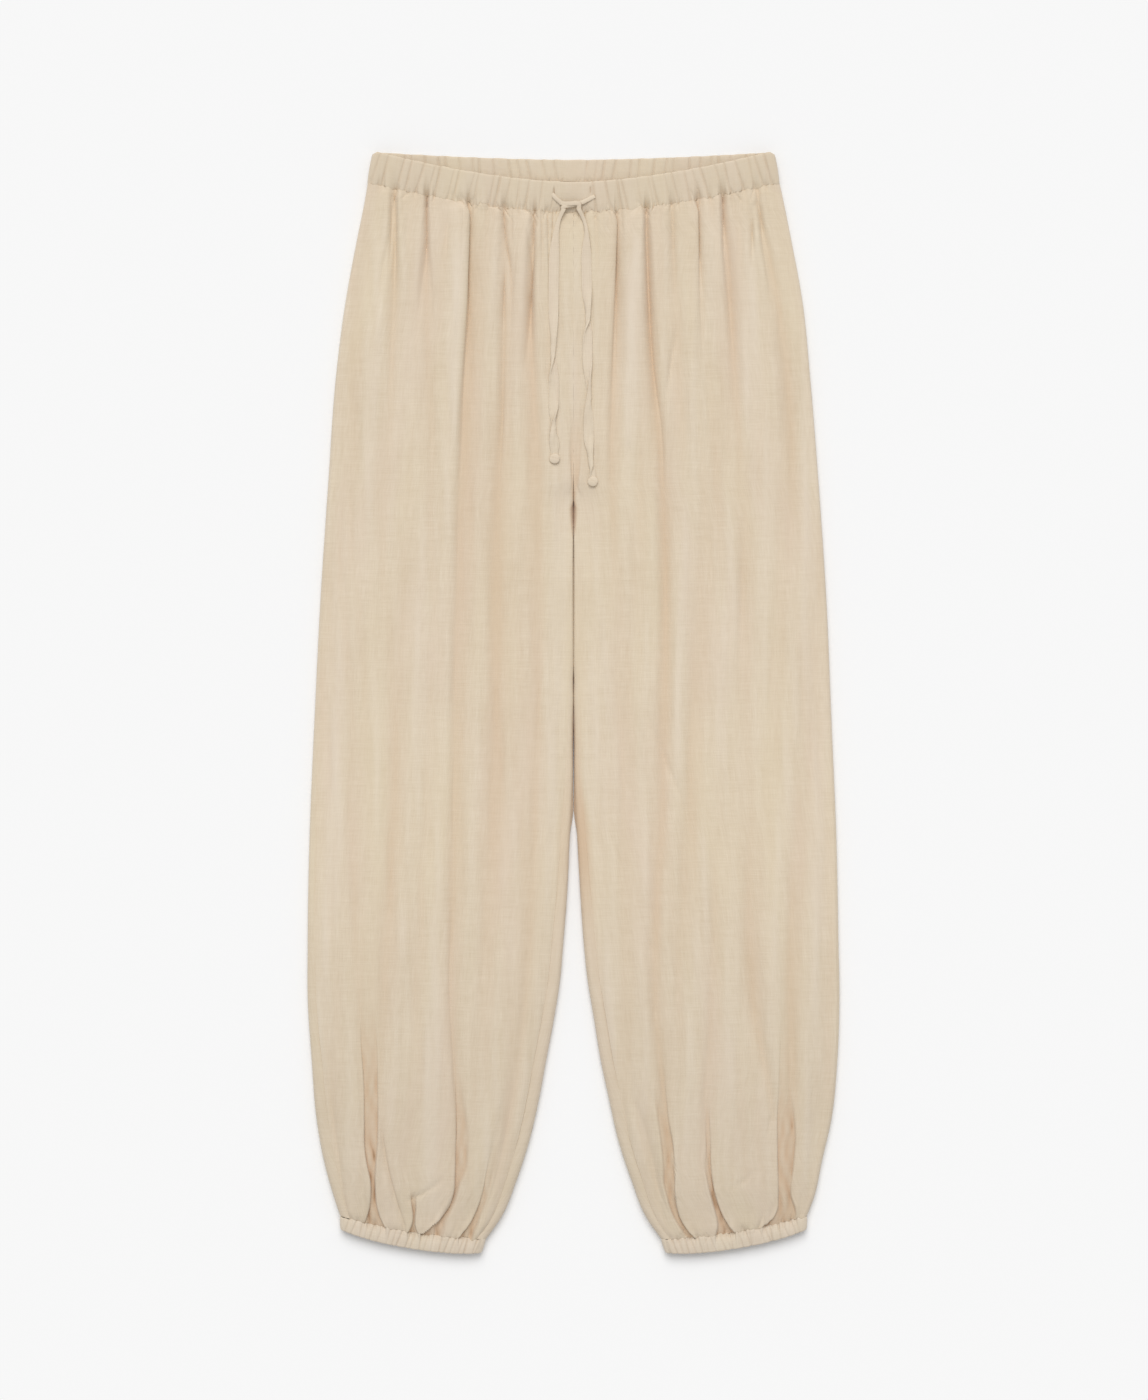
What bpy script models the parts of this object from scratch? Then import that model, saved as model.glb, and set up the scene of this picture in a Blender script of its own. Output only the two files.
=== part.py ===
"""Harem trousers in light linen, laid flat on their back with the front up.

+Y runs up to the waist, +Z is up, and +X is to the right as seen from above, which is the wearer's
left. The origin lies in the middle of the trousers' outline, on the surface they rest on. Sizes here
are in millimetres; every mesh is scaled to metres when it is made.

Each leg is a flattened tube of two panels. The back panel lies on the surface and rolls up round both
edges, and the front panel closes the tube on top, a few millimetres in from the edge. The waistband
has a front and a back half, each gathered on elastic, and each cuff is one gathered ring.
"""
import math

import bpy
import numpy as np

MM = 0.001

# ---- driving dimensions, in mm -------------------------------------------------------------------
WALL = 1.2              # cloth of the leg panels, with its nap and air
SEAM_GAP = 0.3          # between two pieces that are sewn together
HALF_GAP = SEAM_GAP / 2

WAIST_SEAM_Y = 468.9    # where the panels meet the waistband, at the sides
CROTCH_Y = 183.2        # lower end of the centre seams
CUFF_SEAM_OUTER_Y = -462.0
CUFF_SEAM_INNER_Y = -483.0
CUFF_SEAM_SAG = 4.0     # the cuff seam bows down between its ends

BAND_HEIGHT = 29.0      # waistband, at the sides
BAND_WALL = 2.2         # doubled cloth with elastic in it
BAND_SEAM_HALF = 186.0
BAND_TOP_HALF = 181.5
BAND_FRONT_Z = 10.2     # middle of the front half's wall
BAND_DIP_SEAM = 27.0    # how far the front seam dips at the centre
BAND_DIP_TOP = 28.3
BAND_BACK_DIP_TOP = 7.0
BAND_BACK_RISE_SEAM = 2.3
BAND_DIP_POWER = 1.65
FRONT_GATHERS = 40
BACK_GATHERS = 35
GATHER_DEPTH = 0.7      # half the height of a gather
BAND_SWELL = 0.35       # how far a casing swells between its two edges
PLAIN_PATCH_HALF = 14.0  # ungathered cloth at the centre, between the buttonholes

CUFF_HEIGHT = 15.0
CUFF_WALL = 2.0
CUFF_TOP_Z = 9.1        # middle of the upper wall
CUFF_GATHERS = 22
CUFF_GATHER_DEPTH = 0.6
CUFF_INNER_HALF_GAP = 79.0
CUFF_OUTER_HALF = 210.6
CUFF_HEM_INNER_HALF_GAP = 83.0
CUFF_HEM_OUTER_HALF = 210.0

TIE_WIDTH = 9.0
TIE_THICKNESS = 1.0
TIE_CLEARANCE = 0.25    # above the highest cloth under it
TIE_FALL = 16.0         # length over which a free end comes down from the knot

SHELF = 18.0            # how far in from the outline the rolled edge may reach
CROTCH_CURL = 42.0      # length above the crotch over which the centre edges curl up
SEAM_ONSET = 30.0       # length over which a fold grows below the waistband or above a cuff
SEAM_FOLD_SHARE = 0.3   # share of a fold's depth that is left at the seam
FLAT_RUN = 6.0          # flat strip of the back panel that is kept beside the centre seam
NORMAL_STEP = 0.05      # along a section, to find its slope
BACK_EDGE_POINTS = 6    # points across each rolled edge of the back panel


# ---- tables, in mm -------------------------------------------------------------------------------
def table(names, rows):
    """A table with named columns, as a dictionary of arrays."""
    return {name: np.array(column, dtype=float) for name, column in zip(names.split(), zip(*rows))}


# Outline of each leg from the centre line, a row for each level. "right" is the wearer's right leg.
OUTER = table("y right left", (
    (468.9, 186.0, 186.0),
    (453.2, 188.6, 189.5),
    (417.2, 195.8, 196.7),
    (363.2, 205.7, 206.6),
    (291.2, 214.7, 213.8),
    (201.2, 221.0, 221.0),
    (93.2, 228.2, 228.2),
    (-14.9, 233.6, 232.7),
    (-122.9, 238.1, 237.2),
    (-212.9, 239.9, 239.0),
    (-266.9, 239.9, 239.9),
    (-320.9, 236.3, 238.1),
    (-374.9, 231.8, 232.7),
    (-410.9, 225.5, 224.6),
    (-446.9, 215.6, 216.5),
    (-462.0, 210.6, 210.6),
))

# Half of the gap between the legs, below the crotch.
INNER = table("y right left", (
    (183.2, 0.15, 0.15),
    (12.0, 0.2, 0.3),
    (-55.0, 1.0, 1.2),
    (-122.9, 1.6, 1.3),
    (-176.9, 5.0, 5.0),
    (-212.9, 8.6, 7.7),
    (-248.9, 12.0, 12.6),
    (-284.9, 17.6, 18.5),
    (-320.9, 24.4, 24.3),
    (-356.9, 31.1, 32.0),
    (-392.9, 39.4, 40.1),
    (-428.9, 50.9, 51.8),
    (-464.9, 66.0, 66.4),
    (-483.0, 79.0, 79.0),
))

# How far in from the outline each side seam lies on top. 0 is right at the edge.
SEAM_INSET = table("y inseam outseam_right outseam_left", (
    (468.9, 0.0, 0.0, 0.0),
    (183.2, 0.0, 1.0, 0.5),
    (12.0, 3.0, 2.5, 1.0),
    (-86.9, 6.0, 4.0, 1.5),
    (-150.0, 8.5, 5.0, 1.5),
    (-266.9, 10.5, 7.5, 2.0),
    (-356.9, 10.5, 10.0, 1.5),
    (-401.9, 10.0, 10.5, 1.0),
    (-445.0, 9.0, 9.0, 1.0),
    (-483.0, 7.5, 7.5, 1.0),
))

# Radius of the rolled edge, and height of the front wall's middle away from the edges.
BODY = table("y edge_radius crown", (
    (468.9, 4.7, 10.4),
    (440.0, 4.5, 12.0),
    (363.2, 3.9, 12.4),
    (183.2, 3.7, 12.4),
    (-266.9, 3.7, 12.6),
    (-400.0, 3.8, 12.8),
    (-440.0, 4.0, 12.2),
    (-462.0, 4.1, 9.8),
    (-490.0, 4.1, 9.1),
))

# Folds of the front panels, a row each: distance of the trough from the centre line and its depth, at
# seven levels from the waist to the cuff. Rows run from the inseam outwards.
FOLD_LEVELS = (448.7, 363.2, 183.2, -59.9, -266.9, -401.9, -472.0)
FOLD_NAMES = "distance depth half_width"
FOLDS = {
    "right": (
        ((34.7, 38.2, 31.1, 33.8, 43.7, 64.4, 94.1), (4.2, 3.9, 3.2, 3.2, 2.8, 2.6, 2.4), 6.5),
        ((61.7, 62.6, 68.9, 69.8, 77.0, 84.2, 109.4), (2.8, 2.3, 2.0, 1.6, 0.5, 0.8, 2.0), 7.5),
        ((95.0, 96.8, 103.1, 107.6, 111.2, 106.7, 123.8), (4.4, 4.4, 4.2, 4.2, 3.8, 4.2, 3.2), 7.0),
        ((131.9, 132.8, 128.3, 131.0, 138.2, 134.6, 134.6), (4.0, 2.4, 0.8, 0.4, 0.6, 1.8, 1.5), 6.5),
        ((162.5, 170.6, 170.6, 160.7, 169.7, 168.8, 146.3), (4.0, 1.6, 0.8, 2.0, 2.4, 3.6, 3.2), 7.0),
        ((175.0, 190.4, 199.4, 201.2, 193.1, 187.7, 186.8), (0.0, 0.0, 0.3, 0.6, 2.4, 4.2, 3.0), 6.0),
    ),
    "left": (
        ((38.3, 36.5, 34.7, 43.7, 46.4, 64.0, 93.0), (4.0, 3.2, 1.6, 1.0, 0.6, 1.4, 1.6), 7.0),
        ((65.3, 66.2, 80.6, 79.7, 77.0, 86.0, 106.0), (4.6, 4.6, 4.4, 3.8, 3.8, 4.2, 3.6), 7.0),
        ((89.6, 89.6, 104.9, 104.9, 95.9, 104.0, 119.3), (2.0, 1.5, 0.6, 1.5, 0.8, 1.2, 1.5), 7.0),
        ((111.2, 113.9, 128.3, 127.4, 113.9, 119.3, 135.5), (3.8, 1.6, 0.6, 0.4, 2.4, 3.4, 3.6), 6.5),
        ((134.6, 140.9, 149.9, 157.1, 161.6, 184.1, 176.9), (4.2, 3.2, 1.5, 0.4, 2.4, 3.2, 3.4), 7.0),
        ((166.1, 183.2, 199.4, 199.4, 194.9, 199.4, 196.0), (3.0, 2.8, 1.0, 0.4, 1.8, 2.4, 2.6), 6.5),
    ),
}
BANK = 0.3              # height of the banks beside a trough, as a share of its depth
BANK_DISTANCE = 2.0     # their distance from the trough, in half widths

# Rows of each panel: shares of the way from the waistband to the crotch, then from there to the cuff.
ROWS_ABOVE = (0.0, 0.03, 0.07, 0.14, 0.24, 0.37, 0.51, 0.65, 0.79, 0.86, 0.93, 1.0)
ROWS_BELOW = (0.06, 0.13, 0.21, 0.30, 0.39, 0.48, 0.57, 0.65, 0.73, 0.80, 0.86, 0.91, 0.95, 0.98, 1.0)

# Free ends of the tie, as seen from above: a point and the tape's turn about its own length, in degrees.
# At 0 and 180 it lies flat, and in between it stands partly on its edge.
TIE_ENDS = {
    "tie_end_right": table("x y turn", (
        (-8.5, 445.6, 15), (-13.6, 434.0, 25), (-16.4, 418.0, 15), (-17.5, 397.5, 0),
        (-17.8, 378.0, 0), (-18.0, 360.0, 5), (-18.2, 346.0, 20), (-18.3, 332.0, 45),
        (-18.4, 313.7, 90), (-18.0, 300.0, 145), (-17.5, 286.7, 180), (-17.7, 273.0, 185),
        (-18.0, 259.7, 220), (-17.9, 250.7, 270), (-17.6, 243.0, 315), (-17.2, 232.7, 350),
        (-16.9, 223.5, 360),
    )),
    "tie_end_left": table("x y turn", (
        (4.6, 445.7, 15), (9.0, 436.0, 35), (11.3, 426.2, 45), (11.5, 412.0, 20),
        (11.6, 397.5, 0), (12.0, 379.0, 0), (12.2, 363.0, 30), (13.0, 345.4, 90),
        (12.8, 334.0, 150), (12.5, 318.2, 180), (12.8, 304.0, 200), (13.7, 290.0, 235),
        (14.0, 278.0, 270), (13.9, 268.7, 310), (13.6, 255.2, 350), (13.7, 241.7, 360),
        (13.9, 232.7, 385), (14.7, 223.6, 420), (16.0, 215.0, 450), (16.8, 209.0, 490),
        (17.2, 203.0, 525),
    )),
}
TIE_RUNS = {                # from each buttonhole to the knot
    "tie_run_right": ((-19.3, 458.6), (-16.0, 454.8), (-11.3, 450.7)),
    "tie_run_left": ((18.9, 456.8), (13.5, 453.8), (6.9, 450.6)),
}
TIE_KNOT_CENTRE = (-2.3, 449.2)
TIE_KNOT_SIZE = (18.0, 8.0, 4.4)
END_KNOT_SIZE = (10.4, 8.4, 4.0)
END_KNOTS = {"tie_end_right": (-16.9, 218.6), "tie_end_left": (17.4, 198.0)}
TURNED_SHARE = 0.45     # the tape closes up to this share of its width where it stands on its edge

# ---- colours, as linear RGB ----------------------------------------------------------------------
LINEN = (0.72, 0.61, 0.47)
LINEN_INSIDE = (0.66, 0.54, 0.41)
TAPE_CLOTH = (0.74, 0.64, 0.50)


def linen(name, colour):
    """Matt woven cloth."""
    material = bpy.data.materials.new(name)
    material.use_nodes = True
    shader = material.node_tree.nodes["Principled BSDF"]
    shader.inputs["Base Color"].default_value = (*colour, 1.0)
    shader.inputs["Roughness"].default_value = 0.9
    shader.inputs["Metallic"].default_value = 0.0
    material.diffuse_color = (*colour, 1.0)
    return material


# ---- curves and heights --------------------------------------------------------------------------
def read(columns, name, y):
    """A column's value at the level y, on a smooth curve through the table's rows."""
    levels = columns["y"][::-1]
    values = columns[name][::-1]
    return along(levels, values, y)


def along(places, values, place):
    """Hermite curve through values at rising places, with mean slopes and held ends."""
    slopes = np.gradient(values, places)
    place = min(max(place, places[0]), places[-1])
    i = min(int(np.searchsorted(places, place, side="right")) - 1, len(places) - 2)
    span = places[i + 1] - places[i]
    t = (place - places[i]) / span
    start = (2 * t**3 - 3 * t**2 + 1) * values[i] + (t**3 - 2 * t**2 + t) * span * slopes[i]
    end = (3 * t**2 - 2 * t**3) * values[i + 1] + (t**3 - t**2) * span * slopes[i + 1]
    return float(start + end)


def ease(t):
    """0 to 1 with a soft start and end."""
    t = min(max(t, 0.0), 1.0)
    return t * t * (3 - 2 * t)


def lerp(a, b, t):
    return a + (b - a) * t


def waist_dip(share):
    """0 at the side and 1 at the centre, for a share of the half width."""
    return 1 - abs(share) ** BAND_DIP_POWER


def fold_state(side, y):
    """Distance, depth and half width of each fold at the level y."""
    levels = np.array(FOLD_LEVELS[::-1])
    state = []
    for distances, depths, half_width in FOLDS[side]:
        distance = along(levels, np.array(distances[::-1]), y)
        depth = max(along(levels, np.array(depths[::-1]), y), 0.0)
        state.append((distance, depth, half_width))
    return state


def seam_hold(below_waist, above_cuff):
    """Share of a fold's depth that the seams leave, close to the waistband and the cuff."""
    free = ease(min(below_waist, above_cuff) / SEAM_ONSET)
    return SEAM_FOLD_SHARE + (1 - SEAM_FOLD_SHARE) * free


class Level:
    """One row of a leg: its outline, seams, folds and heights at the level y of its outer edge."""

    def __init__(self, side, share, below_crotch):
        self.side = side
        if below_crotch:
            self.y_outer = lerp(CROTCH_Y, CUFF_SEAM_OUTER_Y, share)
            self.y_inner = lerp(CROTCH_Y, CUFF_SEAM_INNER_Y, share)
            self.dip_fade = 0.0
            self.sag_fade = share**6
        else:
            self.y_outer = self.y_inner = lerp(WAIST_SEAM_Y, CROTCH_Y, share)
            self.dip_fade = 1 - share
            self.sag_fade = 0.0
        self.below_crotch = below_crotch
        self.share = share
        self.outer = read(OUTER, side, self.y_outer) - WALL / 2
        self.inner = read(INNER, side, self.y_inner) + WALL / 2 if below_crotch else 0.0
        self.radius = read(BODY, "edge_radius", self.y_outer)
        above = self.y_inner - CROTCH_Y
        self.curl = 0.0 if below_crotch else math.pi / 2 * (1 - ease(above / CROTCH_CURL))
        self.inner_radius = read(BODY, "edge_radius", min(self.y_inner, CROTCH_Y))

    def row_y(self, x, front):
        """Height up the leg of the point at distance x from the centre line."""
        share = min(max((x - self.inner) / (self.outer - self.inner), 0.0), 1.0)
        y = lerp(self.y_inner, self.y_outer, share)
        y -= CUFF_SEAM_SAG * math.sin(math.pi * share) * self.sag_fade
        dip = -BAND_DIP_SEAM if front else BAND_BACK_RISE_SEAM
        return y + dip * waist_dip(share) * self.dip_fade

    def edge_z(self):
        """Middle of the wall on top of the rolled inner edge."""
        if self.below_crotch:
            return WALL / 2 + 2 * self.inner_radius
        return lerp(WALL / 2 + 2 * self.inner_radius, read(BODY, "crown", self.y_inner) - 1.2,
                    1 - self.curl / (math.pi / 2))

    def inner_tangent(self):
        """Distance from the centre line of the rolled inner edge's axis."""
        if self.below_crotch:
            return self.inner + self.inner_radius
        return HALF_GAP + (WALL / 2 + self.inner_radius) * math.sin(self.curl)

    def front_z(self, x):
        """Middle of the front wall at distance x from the centre line, with its folds."""
        y = self.row_y(x, True)
        crown = read(BODY, "crown", y)
        from_inner = x - self.inner_tangent()
        from_outer = self.outer - self.radius - x
        inner_z = lerp(self.edge_z(), crown, ease(from_inner / 32))
        outer_z = lerp(WALL / 2 + 2 * self.radius, crown, ease(from_outer / 32))
        z = min(inner_z, outer_z)
        if self.below_crotch:
            above_cuff = (1 - self.share) * (CROTCH_Y - CUFF_SEAM_INNER_Y)
            hold = seam_hold(SEAM_ONSET, above_cuff)
        else:
            hold = seam_hold(self.share * (WAIST_SEAM_Y - CROTCH_Y), SEAM_ONSET)
        hold *= ease(min(from_inner, from_outer) / 12)
        for distance, depth, half_width in fold_state(self.side, y):
            off = abs(x - distance) / half_width
            trough = math.exp(-off * off)
            bank = math.exp(-((off - BANK_DISTANCE) ** 2))
            z += depth * hold * (BANK * bank - trough)
        return z

    def rolled(self, length, inner):
        """Point on a rolled edge, by its length from where the flat underside ends: distance, height."""
        inward = 1 if inner else -1
        tangent = self.inner_tangent() if inner else self.outer - self.radius
        radius = self.inner_radius if inner else self.radius
        if length < 0:
            return tangent - inward * length, WALL / 2
        turn = length / radius
        if turn > math.pi:
            x = tangent + inward * (length - math.pi * radius)
            return x, self.front_z(x)
        top = self.edge_z() if inner else WALL / 2 + 2 * radius
        raised = top - WALL / 2 - 2 * radius if turn > math.pi / 2 else 0.0
        x = tangent - inward * radius * math.sin(turn)
        return x, WALL / 2 + radius * (1 - math.cos(turn)) + raised


def seam_length(inset, radius):
    """Length along a rolled edge, from the underside to a seam that lies this far in from the edge."""
    if inset < radius:
        return radius * (math.pi / 2 + math.acos(1 - inset / radius))
    return math.pi * radius + inset - radius


def fold_columns(level):
    """Distances of the front panel's columns on top: each fold's trough and shoulders, and a ridge between."""
    y = level.y_outer
    state = fold_state(level.side, y)
    for _ in range(3):
        ys = [level.row_y(distance, True) for distance, _, _ in state]
        state = [fold_state(level.side, ys[i])[i] for i in range(len(state))]
    places = [level.inner] + [s[0] for s in state] + [level.outer]
    inner_shelf = level.inner + min(SHELF, 0.58 * (places[1] - places[0]))
    outer_shelf = level.outer - min(SHELF, 0.58 * (places[-1] - places[-2]))
    columns = []
    for i, (distance, _, half_width) in enumerate(state, start=1):
        room = 0.36 * min(distance - places[i - 1], places[i + 1] - distance)
        reach = min(half_width, room)
        if columns:
            columns.append((columns[-1] + distance - reach) / 2)
        columns += [distance - reach, distance, distance + reach]
    return inner_shelf, columns, outer_shelf


def wall_point(path, place, forward):
    """Point on a path and the unit normal to the left of its run: distance, height, normal's two parts."""
    x, z = path(place)
    x0, z0 = path(place - NORMAL_STEP)
    x1, z1 = path(place + NORMAL_STEP)
    run = math.hypot(x1 - x0, z1 - z0) * forward
    return x, z, (z0 - z1) / run, (x1 - x0) / run


def edge_lengths(seam, arc_end, shelf):
    """Five lengths along a rolled edge, from its seam over the end of the arc to the shelf."""
    bend = max(arc_end, seam + 2.0)
    return [seam, (seam + bend) / 2, bend, (bend + shelf) / 2, shelf]


def inner_seam_length(level, side_of_gap):
    """Length along the rolled inner edge of the inseam or the centre seam, less or plus half its gap."""
    if level.below_crotch:
        inset = max(read(SEAM_INSET, "inseam", level.y_inner), 0.0)
        return seam_length(inset, level.inner_radius) + side_of_gap * HALF_GAP
    curl = level.curl if side_of_gap < 0 else math.pi - level.curl
    return level.inner_radius * curl + side_of_gap * HALF_GAP * level.curl / (math.pi / 2)


def outer_seam_length(level, side_of_gap):
    """Length along the rolled outer edge of the side seam, less or plus half its gap."""
    inset = max(read(SEAM_INSET, "outseam_" + level.side, level.y_outer), 0.0)
    return seam_length(inset, level.radius) + side_of_gap * HALF_GAP


def front_row(level):
    """Front panel's wall on one row, from the inner seam to the outer seam: distance, height, normal."""
    def inner_path(length):
        return level.rolled(length, True)

    def outer_path(length):
        return level.rolled(length, False)

    def top_path(x):
        return x, level.front_z(x)

    inner_shelf, columns, outer_shelf = fold_columns(level)
    arc = math.pi * level.inner_radius
    shelf = arc + inner_shelf - level.inner_tangent()
    lengths = edge_lengths(inner_seam_length(level, 1), arc, shelf)
    points = [wall_point(inner_path, length, 1) for length in lengths]
    points += [wall_point(top_path, x, 1) for x in columns]
    arc = math.pi * level.radius
    shelf = arc + level.outer - level.radius - outer_shelf
    lengths = edge_lengths(outer_seam_length(level, 1), arc, shelf)
    points += [wall_point(outer_path, length, -1) for length in reversed(lengths)]
    return points


def back_row(level):
    """Back panel's wall on one row, from the inner seam to the outer seam: distance, height, normal."""
    def inner_path(length):
        return level.rolled(length, True)

    def outer_path(length):
        return level.rolled(length, False)

    flat = 0.0 if level.below_crotch else -FLAT_RUN * (1 - level.curl / (math.pi / 2))
    lengths = np.linspace(inner_seam_length(level, -1), flat, BACK_EDGE_POINTS)
    points = [wall_point(inner_path, length, -1) for length in lengths]
    tangents = level.inner_tangent(), level.outer - level.radius
    points += [(lerp(*tangents, share), WALL / 2, 0.0, 1.0) for share in (1 / 3, 2 / 3)]
    lengths = np.linspace(0.0, outer_seam_length(level, -1), BACK_EDGE_POINTS)
    points += [wall_point(outer_path, length, 1) for length in lengths]
    return points


# ---- meshes --------------------------------------------------------------------------------------
def make_object(name, points, faces, material):
    """A closed solid from points in mm and faces that point outwards."""
    mesh = bpy.data.meshes.new(name)
    mesh.from_pydata([tuple(point * MM for point in p) for p in points], [], faces)
    mesh.validate()
    mesh.materials.append(material)
    mesh.shade_smooth()
    mesh.set_sharp_from_angle(angle=math.radians(50))
    thing = bpy.data.objects.new(name, mesh)
    bpy.context.scene.collection.objects.link(thing)
    return thing


def split(a, b, c, d):
    """Two triangles of a quad, on the diagonal from a to c."""
    return [(a, b, c), (a, c, d)]


def wall_solid(name, upper, lower, material, flip):
    """A wall between two grids of points with the same rows and columns. flip turns the faces round."""
    upper, lower = np.array(upper), np.array(lower)
    rows, columns = upper.shape[:2]
    below = rows * columns

    def at(row, column, layer):
        return row * columns + column + layer * below

    faces = []
    for r in range(rows - 1):
        for c in range(columns - 1):
            up = [at(r, c, 0), at(r + 1, c, 0), at(r + 1, c + 1, 0), at(r, c + 1, 0)]
            faces += split(*up)
            low = [i + below for i in up]
            faces += [tuple(reversed(f)) for f in split(*low)]
    rim = [(0, c) for c in range(columns)] + [(r, columns - 1) for r in range(1, rows)]
    rim += [(rows - 1, c) for c in range(columns - 2, -1, -1)] + [(r, 0) for r in range(rows - 2, 0, -1)]
    for (r0, c0), (r1, c1) in zip(rim, rim[1:] + rim[:1]):
        faces += split(at(r0, c0, 0), at(r1, c1, 0), at(r1, c1, 1), at(r0, c0, 1))
    if flip:
        faces = [tuple(reversed(f)) for f in faces]
    return make_object(name, np.concatenate([upper.reshape(-1, 3), lower.reshape(-1, 3)]), faces, material)


def levels(side):
    """Rows of a leg from the waistband down to the cuff."""
    rows = [Level(side, share, False) for share in ROWS_ABOVE]
    return rows + [Level(side, share, True) for share in ROWS_BELOW]


def leg_panel(name, side, front, material):
    """The front or back panel of one leg, as a wall round the middle surface of its rows."""
    rows = levels(side)
    outward = 1 if front else -1     # the grid called upper is the outside of the leg
    upper, lower = [], []
    for number, level in enumerate(rows):
        trim = {0: -HALF_GAP, len(rows) - 1: HALF_GAP}.get(number, 0.0)   # clear of waistband and cuff
        row = front_row(level) if front else back_row(level)
        for grid, half_wall in ((upper, outward * WALL / 2), (lower, -outward * WALL / 2)):
            grid.append([
                (max(x + nx * half_wall, HALF_GAP), level.row_y(x, front) + trim, z + nz * half_wall)
                for x, z, nx, nz in row
            ])
    upper, lower = np.array(upper), np.array(lower)
    if side == "right":
        upper[..., 0] *= -1
        lower[..., 0] *= -1
    return wall_solid(name, upper, lower, material, flip=(side == "right") == front)


def casing(name, outer, inner, material, closed):
    """A gathered casing: outer is a grid of three rows of points and inner of two, bottom row first."""
    outer, inner = np.array(outer), np.array(inner)
    count = outer.shape[1]
    loops = [outer[0], outer[1], outer[2], inner[1], inner[0]]
    size = len(loops)
    points = np.concatenate(loops)
    faces = []
    for k in range(count if closed else count - 1):
        following = (k + 1) % count
        for i in range(size):
            j = (i + 1) % size
            faces += split(i * count + k, i * count + following, j * count + following, j * count + k)
    if not closed:
        for k, turned in ((0, False), (count - 1, True)):
            cap = [i * count + k for i in range(size)]
            cap = [(cap[0], cap[1], cap[4]), (cap[1], cap[3], cap[4]), (cap[1], cap[2], cap[3])]
            faces += [tuple(reversed(f)) for f in cap] if turned else cap
    return make_object(name, points, faces, material)


def gather(place, count, plain_half, half):
    """Wave of the gathers at a place from -half to half, fading out over the plain patch."""
    swing = math.cos(2 * math.pi * count * (place + half) / (2 * half))
    uneven = 0.75 + 0.25 * math.sin(0.11 * place + 1.3) * math.cos(0.047 * place)
    return swing * uneven * gather_share(place, plain_half)


def gather_share(place, plain_half):
    """Share of the gathers' depth at a place, 0 on the plain patch."""
    return ease((abs(place) - plain_half) / 5)


def band_half(name, front, material):
    """One half of the waistband, from the wearer's right side seam to the left one."""
    gathers = FRONT_GATHERS if front else BACK_GATHERS
    radius = (BAND_FRONT_Z - BAND_WALL / 2) / 2
    shares = np.linspace(-1, 1, 3 * gathers + 1)
    turns = np.linspace(math.pi / 2, 0, 5)[:-1]
    columns = [("turn", -1, turn) for turn in turns]
    columns += [("flat", 0, share) for share in shares]
    columns += [("turn", 1, turn) for turn in reversed(turns)]
    middle_z = BAND_FRONT_Z if front else BAND_WALL / 2
    up = 1 if front else -1
    outer, inner = [], []
    for height in (0.0, 0.5, 1.0):
        half = lerp(BAND_SEAM_HALF, BAND_TOP_HALF, height) - BAND_WALL / 2
        flat_half = half - radius
        row_out, row_in = [], []
        for kind, end, value in columns:
            if kind == "turn":
                turn = value - (HALF_GAP / radius if value == turns[0] else 0.0)
                x = end * (flat_half + radius * math.sin(turn))
                z = middle_z - up * radius * (1 - math.cos(turn))
                normal = (end * math.sin(turn), up * math.cos(turn))
                wave = 0.0
            else:
                x, z, normal = value * flat_half, middle_z, (0.0, up)
                plain = PLAIN_PATCH_HALF if front else 9.0
                wave = gather(value * BAND_SEAM_HALF, gathers, plain, BAND_SEAM_HALF)
                wave *= ease((1 - abs(value)) / 0.05)
            share = x / lerp(BAND_SEAM_HALF - WALL / 2, half, height)
            y = band_y(share, height, front) + 0.5 * wave * height
            swell = BAND_SWELL * (1 - (2 * height - 1) ** 2)
            out_face = BAND_WALL / 2 + (swell + GATHER_DEPTH * wave if front else 0.0)
            in_face = BAND_WALL / 2 + (0.0 if front else GATHER_DEPTH * 0.7 * (wave - 0.3))
            row_out.append((x + normal[0] * out_face, y, z + normal[1] * out_face))
            row_in.append((x - normal[0] * in_face, y, z - normal[1] * in_face))
        outer.append(row_out)
        if height != 0.5:
            inner.append(row_in)
    if front:
        return casing(name, outer, inner, material, closed=False)
    return casing(name, outer[::-1], inner[::-1], material, closed=False)


def band_y(share, height, front):
    """Height of the waistband at a share of its half width, from its seam, 0, to its top edge, 1."""
    dip = waist_dip(share)
    if front:
        seam, top = -BAND_DIP_SEAM * dip, BAND_HEIGHT - BAND_DIP_TOP * dip
    else:
        seam, top = BAND_BACK_RISE_SEAM * dip, BAND_HEIGHT - BAND_BACK_DIP_TOP * dip
    corner = 2.5 * ease((abs(share) - 0.975) / 0.025)
    return WAIST_SEAM_Y + HALF_GAP + lerp(seam, top - corner, height)


def cuff_columns():
    """Columns round a cuff: along the top, round the outer edge, back below and round the inner edge."""
    steps = 3 * CUFF_GATHERS
    columns = [("top", share, 0.0) for share in np.linspace(0, 1, steps + 1)]
    columns += [("outer", 0.0, turn) for turn in np.linspace(0, math.pi, 7)[1:-1]]
    columns += [("bottom", share, 0.0) for share in np.linspace(1, 0, 13)]
    columns += [("inner", 0.0, turn) for turn in np.linspace(math.pi, 0, 7)[1:-1]]
    return columns


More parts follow.
